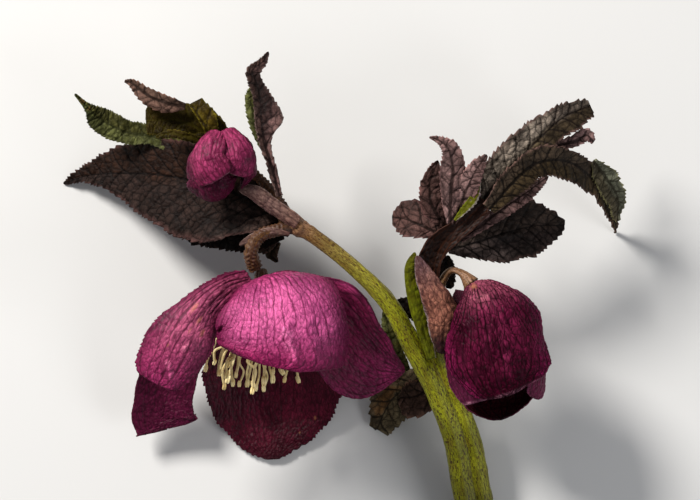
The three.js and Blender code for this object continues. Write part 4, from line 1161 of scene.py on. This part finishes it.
def build_stem():
    """The forked stem and both stalks as one ribbed skin, with rings on the stalks and a rough knuckle."""
    vertices, faces = merged([tube(rows, 1.0, 20) for rows in STEMS.values()])
    points, normals, polygons = fused(vertices, faces, STEM_VOXEL)
    places = np.array([stem_places(points, rows) for rows in STEMS.values()])
    gaps = places[:, 0]
    which = gaps.argmin(0)
    along, share, angle = places[which, 1:, np.arange(len(points))].T
    names = list(STEMS)
    main = which == names.index("main")
    stalk = (which == names.index("open_flower")) | (which == names.index("bud"))

    ribs = 0.07 * np.cos(angle * 6 + 1.5 * noise(along / 9, which * 3.0, 0.0, 71))
    grain = 0.09 * noise(along / 2.5, angle * 2.2, which * 4.0, 72)
    grain = grain + 0.04 * noise(along / 0.7, angle * 5, which * 4.0, 73)
    ring_pitch = 1.05
    rings = np.sin(along / ring_pitch * 6.283 + 0.5 * angle + 3.5 * noise(along / 2, angle * 1.2, 0.0, 74))
    ringed = stalk * smooth(2, 4, along)
    # How deep each point of a stalk lies in the groove between rings; the skin is painted dark there as
    # painted shade.
    groove_shade = ringed * smooth(0.1, 0.9, -rings) * (0.6 + 0.4 * noise(along, angle * 3, 0.0, 77))
    rings = rings * (0.22 + 0.12 * noise(along / 1.6, angle * 1.5, 1.0, 75)) * ringed
    knuckle = np.linalg.norm(points - np.array(KNUCKLE), axis=1)
    bumps = 0.22 * noise(*(points.T / 1.1), 76) * (1 - smooth(3, 6.5, knuckle))
    points = points + normals * (ribs + grain + rings + bumps)[:, None]

    brown = np.where(main, smooth(0.5, 0.84, share), np.where(stalk, 1.0, smooth(0.6, 0.75, share)))
    # The crease where the two stems lie together, painted dark as painted shade.
    to_both_stems = np.maximum(gaps[names.index("main")], gaps[names.index("side")])
    crease = (1 - smooth(0.0, 0.55, to_both_stems)) * (share < 0.5) * 0.9
    paint = np.stack([brown, share, stalk * 1.0, np.maximum(np.clip(groove_shade, 0, 1), crease)], -1)
    uv = np.stack([along, angle * 2.2], -1) * UV_PER_MM
    make_object("stems", points, polygons, {"paint": paint}, uv, stem_material(), "main_stem")


def stem_material():
    """Yellow-green skin with reddish-brown streaks and flecks, browner and ridged towards the flowers.
    Its grooves, the crease between the stems and its foot are painted darker as painted shade.
    """
    n = Nodes("stem_skin")
    brown, along, ridged, groove_shade = n.paint("paint")
    streak = n.noise(60, 5, 0.7, n.streaks(0.35, 2.2))
    fleck = n.noise(230, 5, 0.75, n.streaks(0.6, 1.3))
    grain = n.noise(1500, 4, 0.6)
    cloud = n.noise(110, 3, 0.5)
    clouded = n.ramp(cloud, 0.35, 0.65)
    green = n.mix(clouded, (0.24, 0.25, 0.005), (0.42, 0.43, 0.014))
    tan = n.mix(clouded, (0.19, 0.10, 0.045), (0.34, 0.18, 0.10))
    dark_tan = n.mix(n.ramp(cloud, 0.3, 0.7), (0.06, 0.028, 0.018), (0.13, 0.065, 0.04))
    skin = n.mix(brown, green, tan)
    skin = n.mix(ridged, skin, dark_tan)
    # Painted shade in the grooves between the rings and in the crease between the stems.
    skin = n.mix(n.times(groove_shade, 0.85), skin, (0.018, 0.008, 0.006))
    amount = n.plus(0.5, n.times(brown, 0.35))
    skin = n.mix(n.times(n.ramp(streak, 0.47, 0.60), amount), skin, (0.13, 0.055, 0.008))
    skin = n.mix(n.times(n.ramp(fleck, 0.50, 0.55), 0.9), skin, (0.042, 0.012, 0.004))
    # Darker towards the foot of the stem: painted shade.
    skin = n.tint(n.ramp(along, 0.0, 0.32, 0.85, 0.0), skin, (0.22, 0.20, 0.30))
    return n.finish(skin, n.ramp(streak, 0.3, 0.7, 0.4, 0.56), grain, 0.5, 0.0003, 0.2)


# ---------------------------------------------------------------- flower centres

def ball(centre, axes, radii, rings=12, sides=16):
    """A closed ellipsoid with its poles on the first axis."""
    lat = np.linspace(0, math.pi, rings + 1)[1:-1]
    lon = np.arange(sides) / sides * 2 * math.pi
    long, wide, deep = (axis * radius for axis, radius in zip(axes, radii))
    LAT, LON = np.meshgrid(lat, lon, indexing="ij")
    local = np.cos(LAT)[..., None] * long
    local = local + (np.sin(LAT) * np.cos(LON))[..., None] * wide
    local = local + (np.sin(LAT) * np.sin(LON))[..., None] * deep
    points = np.concatenate([[centre + long], (centre + local).reshape(-1, 3), [centre - long]])
    grid = 1 + np.arange((rings - 1) * sides).reshape(rings - 1, sides)
    first = [[0, int(grid[0, (i + 1) % sides]), int(grid[0, i])] for i in range(sides)]
    final = len(points) - 1
    last = [[final, int(grid[-1, i]), int(grid[-1, (i + 1) % sides])] for i in range(sides)]
    return points, ring_walls(grid) + first + last


def centre_parts(core, tips):
    """Stamens, nectaries and carpels that spring from a disc under a flower's core."""
    x, y, z = core
    top = y - 3.0
    parts, paints = [], []
    rng = np.random.default_rng(7)

    def add(part, kind):
        """Keeps a part, painted with its kind and with a chance value of its own."""
        parts.append(part)
        paints.append(np.tile([kind, rng.random(), 0.0, 1.0], (len(part[0]), 1)))

    def around(share):
        """The direction away from the flower's axis at a share of a turn."""
        angle = share * 2 * math.pi
        return np.array([math.cos(angle), 0, math.sin(angle)])

    def stamen(end):
        """A crooked filament from the disc, with a two-celled anther at its end."""
        start = np.array([x + (end[0] - x) * 0.16, top - 0.7, z + (end[2] - z) * 0.16])
        rows = []
        for share in np.linspace(0, 1, 9):
            bow = math.sin(share * math.pi) * 0.12
            place = start * (1 - share) + end * share + np.array([end[0] - x, 0, end[2] - z]) * bow
            crook = rng.normal(0, 0.5, 3) * smooth(0.05, 0.4, share)
            rows.append([*(place + crook), 0.36 - 0.04 * share + rng.uniform(-0.08, 0.06)])
        add(tube(rows, 0.5, 8), FILAMENT)
        last = np.array(rows[-1][:3])
        direction = unit(last - np.array(rows[-3][:3]) + rng.normal(0, 0.3, 3))
        across = unit(np.cross(direction, [0.3, 0.1, 1.0]))
        deep = np.cross(direction, across)
        size = rng.uniform(0.75, 1.1)
        for offset in (-0.24, 0.24):
            radii = (1.05 * size, 0.36 * size, 0.42 * size)
            add(ball(last + across * offset * size, (direction, across, deep), radii, 9, 9), ANTHER)

    add(tube([[x, top - 0.3, z, 2.4], [x, top - 1.0, z, 2.4], [x, top - 1.5, z, 1.9]], 0.4, 24), DISC)
    for tip in tips:
        for twin in range(2):
            scatter = rng.normal(0, 1.9, 3) * twin + rng.normal(0, 1.2, 3)
            stamen(np.array(tip, float) + scatter + np.array([0, 1.2, 0]))
    nectaries, carpels = 9, 3
    for i in range(nectaries):
        outward = around((i + 0.5) / nectaries)
        root = np.array([x, top - 0.4, z]) + outward * 2.0
        end = np.array([x, top - 4.9, z]) + outward * 4.2
        neck, mouth = root * 0.6 + end * 0.4, root * 0.15 + end * 0.85
        add(tube([[*root, 0.45], [*neck, 0.85], [*mouth, 0.95], [*end, 0.75]], 0.4, 10), NECTARY)
    for i in range(carpels):
        outward = around(i / carpels)
        root = np.array([x, top - 0.4, z]) + outward * 0.9
        end = np.array([x, top - 12.4, z]) + outward * 1.6
        middle, neck = root * 0.5 + end * 0.5, root * 0.2 + end * 0.8
        add(tube([[*root, 0.9], [*middle, 1.0], [*neck, 0.45], [*end, 0.3]], 0.6, 10), CARPEL)
    return merged(parts), np.concatenate(paints)


def centre_material():
    """Cream anthers, paler filaments, green nectaries and purple carpels, by the painted kind."""
    n = Nodes("flower_centre")
    kind = n.paint("paint")[0]
    grain = n.noise(1400, 4, 0.6)
    clouded = n.ramp(n.noise(300, 3, 0.6), 0.3, 0.7)
    filament = n.mix(clouded, (0.62, 0.46, 0.19), (0.86, 0.72, 0.38))
    anther = n.mix(clouded, (0.74, 0.54, 0.20), (0.98, 0.84, 0.46))
    nectary = n.mix(clouded, (0.30, 0.32, 0.06), (0.45, 0.40, 0.12))
    carpel = n.mix(clouded, (0.16, 0.03, 0.08), (0.25, 0.08, 0.12))
    colour = n.mix(n.ramp(kind, 0.12, 0.14), filament, carpel)
    colour = n.mix(n.ramp(kind, 0.5, 0.55), colour, nectary)
    colour = n.mix(n.ramp(kind, 0.85, 0.9), colour, anther)
    colour = n.mix(n.times(n.ramp(grain, 0.5, 0.7), 0.3), colour, (0.35, 0.22, 0.08))
    return n.finish(colour, n.plus(0.5, n.times(clouded, 0.2)), grain, 0.5, 0.0002)


def build_centre(name, core, tips, material):
    """The stamens, nectaries and carpels of one flower."""
    (points, faces), paint = centre_parts(np.array(core, float), tips)
    uv = points[:, :2] * UV_PER_MM
    make_object(name, points, faces, {"paint": paint}, uv, material, name)


def build_core(name, core, radius, depth, material):
    """The swollen top of a flower stalk."""
    centre = np.array(core, float)
    axes = (np.array([0.0, 1.0, 0.0]), np.array([1.0, 0.0, 0.0]), np.array([0.0, 0.0, -1.0]))
    points, faces = ball(centre, axes, (depth, radius, radius), 40, 56)
    local = points - centre
    lumps = 0.18 * noise(*(local.T * 0.9), 81)
    ribs = 0.1 * np.cos(np.arctan2(local[:, 2], local[:, 0]) * 10)
    points = points + unit(local) * (lumps + ribs - 0.15)[:, None]
    paint = np.tile([1.0, 0.5, 1.0, 0.0], (len(points), 1))
    uv = local[:, :2] * UV_PER_MM
    make_object(name, points, faces, {"paint": paint}, uv, material, name)


def hidden_tips(core, count, length, spread):
    """Short stamens hidden in a flower, spread round its axis."""
    x, y, z = core
    tips = []
    for i in range(count):
        angle = i / count * 2 * math.pi
        reach = length * (1 + 0.08 * math.sin(5 * i))
        tips.append([x + spread * math.cos(angle), y - reach, z + spread * math.sin(angle)])
    return tips


def build_centres():
    look = centre_material()
    tips = LONG_STAMENS + hidden_tips(RECEPTACLE, 8, 20, 6.5)
    build_centre("open_flower_centre", RECEPTACLE, tips, look)
    build_centre("side_flower_centre", SIDE_RECEPTACLE, hidden_tips(SIDE_RECEPTACLE, 8, 15, 3), look)
    look = stem_material()
    build_core("open_receptacle", RECEPTACLE, 1.9, 2.6, look)
    build_core("side_receptacle", SIDE_RECEPTACLE, 1.9, 2.4, look)


# ---------------------------------------------------------------- leaves and sepals

# The colours and the other settings of each sepal_material. The papery bracts are made of it too.
SEPAL_LOOKS = {
    "petal_front": dict(
        base=(0.36, 0.035, 0.13), body=(0.58, 0.1, 0.27), tip=(0.28, 0.014, 0.085),
        vein=(0.085, 0.004, 0.03), margin=(0.1, 0.003, 0.03),
        mottle_and_crease_shade=0.5, rim=0.95, rim_from=0.45, veined=0.8,
    ),
    "petal_left": dict(
        base=(0.22, 0.03, 0.075), body=(0.38, 0.075, 0.15), tip=(0.34, 0.03, 0.12),
        vein=(0.055, 0.005, 0.018), margin=(0.14, 0.008, 0.045),
        mottle_and_crease_shade=0.55, rim=0.95, rim_from=0.3, veined=0.8,
    ),
    "petal_lower_left": dict(
        base=(0.05, 0.0025, 0.015), body=(0.06, 0.003, 0.019), tip=(0.08, 0.0045, 0.026),
        vein=(0.018, 0.001, 0.005), margin=(0.13, 0.014, 0.045),
        mottle_and_crease_shade=0.5, rim=0.7, rim_from=0.9, veined=0.5, blotch=0.3,
    ),
    "petal_back": dict(
        base=(0.05, 0.003, 0.011), body=(0.085, 0.005, 0.018), tip=(0.06, 0.0035, 0.012),
        vein=(0.018, 0.0008, 0.003), margin=(0.09, 0.007, 0.022),
        mottle_and_crease_shade=0.6, rim=0.7, rim_from=0.88, veined=0.6, blotch=0.5,
    ),
    "petal_right": dict(
        base=(0.26, 0.024, 0.085), body=(0.16, 0.008, 0.045), tip=(0.26, 0.018, 0.09),
        vein=(0.02, 0.001, 0.005), margin=(0.22, 0.02, 0.08),
        mottle_and_crease_shade=0.5, rim=0.6, rim_from=0.75, veined=0.65, blotch=0.35,
    ),
    "bud_pink": dict(
        base=(0.26, 0.024, 0.085), body=(0.32, 0.036, 0.11), tip=(0.24, 0.022, 0.08),
        vein=(0.05, 0.0025, 0.012), margin=(0.07, 0.003, 0.018),
        mottle_and_crease_shade=0.6, rim=0.85, rim_from=0.6, veined=0.6, blotch=0.35, lip=0.9,
    ),
    "bud_plum": dict(
        base=(0.05, 0.004, 0.015), body=(0.08, 0.006, 0.026), tip=(0.12, 0.01, 0.042),
        vein=(0.012, 0.001, 0.003), margin=(0.12, 0.02, 0.05),
        mottle_and_crease_shade=0.5, rim=0.7, rim_from=0.88, veined=0.5, blotch=0.4,
    ),
    "side_front": dict(
        base=(0.36, 0.085, 0.135), body=(0.125, 0.008, 0.036), tip=(0.055, 0.001, 0.013),
        vein=(0.008, 0.0006, 0.002), margin=(0.24, 0.01, 0.08),
        mottle_and_crease_shade=0.75, rim=0.85, rim_from=0.5, veined=0.9, blotch=0.7, lip=0.8, shine=0.04,
    ),
    "side_left": dict(
        base=(0.03, 0.003, 0.01), body=(0.055, 0.004, 0.02), tip=(0.09, 0.008, 0.034),
        vein=(0.01, 0.001, 0.003), margin=(0.22, 0.07, 0.12),
        rim=0.9, rim_from=0.9, veined=0.5, lip=0.7,
    ),
    "side_back": dict(
        base=(0.012, 0.0006, 0.002), body=(0.024, 0.001, 0.0035), tip=(0.034, 0.0014, 0.005),
        vein=(0.006, 0.0003, 0.001), margin=(0.16, 0.03, 0.06),
        rim=0.85, rim_from=0.92,
    ),
    "side_right": dict(
        base=(0.05, 0.003, 0.015), body=(0.09, 0.005, 0.028), tip=(0.13, 0.009, 0.045),
        vein=(0.012, 0.001, 0.003), margin=(0.2, 0.05, 0.1),
        rim=0.8, rim_from=0.86, veined=0.6,
    ),
    "leaf_husk": dict(
        base=(0.05, 0.022, 0.016), body=(0.42, 0.18, 0.11), tip=(0.14, 0.08, 0.09),
        vein=(0.06, 0.022, 0.016), margin=(0.66, 0.56, 0.5),
        mottle_and_crease_shade=0.7, rim=1, rim_from=0.8, veined=0.5, blotch=0.5, rim_side=-1,
    ),
    "leaf_spring": dict(
        base=(0.13, 0.145, 0.005), body=(0.12, 0.135, 0.003), tip=(0.09, 0.09, 0.003),
        vein=(0.07, 0.07, 0.003), margin=(0.62, 0.55, 0.46),
        rim=1, rim_from=0.7, veined=0.4, rim_side=1,
    ),
    "leaf_throat": dict(
        base=(0.008, 0.004, 0.003), body=(0.01, 0.0045, 0.003), tip=(0.016, 0.008, 0.006),
        vein=(0.04, 0.012, 0.005), margin=(0.06, 0.024, 0.016),
        rim=0.8, rim_from=0.9,
    ),
    "leaf_ribbed": dict(
        base=(0.19, 0.1, 0.075), body=(0.17, 0.098, 0.08), tip=(0.12, 0.072, 0.062),
        vein=(0.045, 0.02, 0.016), margin=(0.34, 0.24, 0.19),
        mottle_and_crease_shade=0.6, rim=0.8, rim_from=0.85, veined=0.6,
    ),
}

# The colours of each leaf_material: the pads, the veins, the margin and the pads of the other half, whose
# difference from the first half is painted light and shade.
LEAF_LOOKS = {
    "dark": ((0.018, 0.0105, 0.0085), (0.002, 0.001, 0.0008), (0.075, 0.034, 0.03), (0.018, 0.008, 0.0048)),
    "green": ((0.08, 0.084, 0.026), (0.018, 0.019, 0.005), (0.15, 0.15, 0.07), (0.055, 0.052, 0.014)),
    "olive": ((0.014, 0.0085, 0.0012), (0.04, 0.03, 0.003), (0.13, 0.1, 0.008), (0.022, 0.014, 0.002)),
    "flap": ((0.11, 0.08, 0.005), (0.01, 0.006, 0.001), (0.18, 0.15, 0.012), (0.055, 0.036, 0.003)),
    "brown": ((0.05, 0.027, 0.022), (0.006, 0.003, 0.003), (0.15, 0.1, 0.085), (0.038, 0.02, 0.018)),
    "rust": ((0.095, 0.052, 0.038), (0.012, 0.006, 0.004), (0.18, 0.09, 0.06), (0.06, 0.034, 0.024)),
    "mauve": ((0.17, 0.1, 0.092), (0.014, 0.007, 0.006), (0.24, 0.12, 0.11), (0.12, 0.068, 0.062)),
    "plum": ((0.08, 0.04, 0.034), (0.008, 0.004, 0.003), (0.17, 0.075, 0.07), (0.065, 0.033, 0.028)),
    "grey": ((0.05, 0.034, 0.022), (0.006, 0.004, 0.003), (0.13, 0.07, 0.058), (0.038, 0.025, 0.012)),
    "dusk": ((0.085, 0.066, 0.052), (0.008, 0.005, 0.004), (0.15, 0.08, 0.07), (0.026, 0.018, 0.01)),
    "moss": ((0.12, 0.092, 0.05), (0.014, 0.01, 0.006), (0.16, 0.12, 0.07), (0.085, 0.062, 0.036)),
    "pale": ((0.16, 0.16, 0.105), (0.022, 0.018, 0.01), (0.3, 0.27, 0.11), (0.07, 0.058, 0.034)),
    "black": ((0.028, 0.019, 0.015), (0.003, 0.0018, 0.0014), (0.08, 0.045, 0.038), (0.022, 0.015, 0.013)),
    "night": ((0.009, 0.0055, 0.004), (0.002, 0.0012, 0.001), (0.03, 0.016, 0.012), (0.007, 0.004, 0.003)),
}


def build_blades():
    """Every leaf and sepal. Each group has its slot and the first of its seeds."""
    looks = {name: sepal_material(name, **look) for name, look in SEPAL_LOOKS.items()}
    for name, colours in LEAF_LOOKS.items():
        looks["leaf_" + name] = leaf_material("leaf_" + name, *colours)
    bracts = {**LEFT_BRACT, **RIGHT_BRACT, **REAR_BRACT}
    groups = (
        (OPEN_SEPALS, "sepal", 1),
        (BUD_SEPALS, "bud_sepal", 11),
        (SIDE_SEPALS, "sepal", 21),
        (bracts, "leaf", 31),
    )
    for shapes, slot, first_seed in groups:
        for seed, (name, shape) in enumerate(shapes.items(), first_seed):
            blade(name, shape, looks[shape["look"]], seed)


# ---------------------------------------------------------------- the setting

def build_floor():
    """A plain pale floor that runs out of view on all sides."""
    mesh = bpy.data.meshes.new("floor")
    reach = 1.5
    corners = [(-reach, -reach, 0), (reach, -reach, 0), (reach, reach, 0), (-reach, reach, 0)]
    mesh.from_pydata(corners, [], [(0, 1, 2, 3)])
    floor = bpy.data.objects.new("floor", mesh)
    bpy.context.scene.collection.objects.link(floor)
    n = Nodes("floor_paint")
    colour = n.mix(n.noise(6, 3, 0.5), (0.70, 0.69, 0.67), (0.74, 0.73, 0.71))
    mesh.materials.append(n.finish(colour, 0.85))


def area_light(name, at, target, size, power, colour):
    """A round lamp that faces a target."""
    data = bpy.data.lights.new(name, "AREA")
    data.shape = "DISK"
    data.size = size
    data.energy = power
    data.color = colour
    light = bpy.data.objects.new(name, data)
    bpy.context.scene.collection.objects.link(light)
    light.location = at
    direction = Vector(target) - light.location
    light.rotation_euler = direction.to_track_quat("-Z", "Y").to_euler()


def build_lights():
    """A key light from the upper left, a weak fill from the lower right and a pale sky."""
    middle = (0.0, 0.0, 0.02)
    bpy.context.scene.view_settings.view_transform = "Standard"
    area_light("key", (-0.55, 0.60, 0.62), middle, 0.30, 15.0, (1.0, 0.98, 0.95))
    area_light("fill", (0.75, -0.35, 0.5), middle, 0.5, 3.0, (0.95, 0.97, 1.0))
    world = bpy.data.worlds.new("studio")
    world.use_nodes = True
    background = world.node_tree.nodes["Background"]
    background.inputs["Color"].default_value = (0.9, 0.93, 1.0, 1)
    background.inputs["Strength"].default_value = 0.25
    bpy.context.scene.world = world


def build_camera():
    """Straight down on the plant, so that its highest side faces the lens."""
    data = bpy.data.cameras.new("camera")
    data.lens = 200
    data.sensor_width = 36
    data.clip_start = 0.05
    data.clip_end = 10
    camera = bpy.data.objects.new("camera", data)
    bpy.context.scene.collection.objects.link(camera)
    mid_height, distance = 28.0, 972.2
    camera.location = Vector(((ORIGIN + np.array([0, 0, mid_height + distance])) * MM).tolist())
    bpy.context.scene.camera = camera


build_camera()
build_stem()
build_blades()
build_centres()
build_floor()
build_lights()
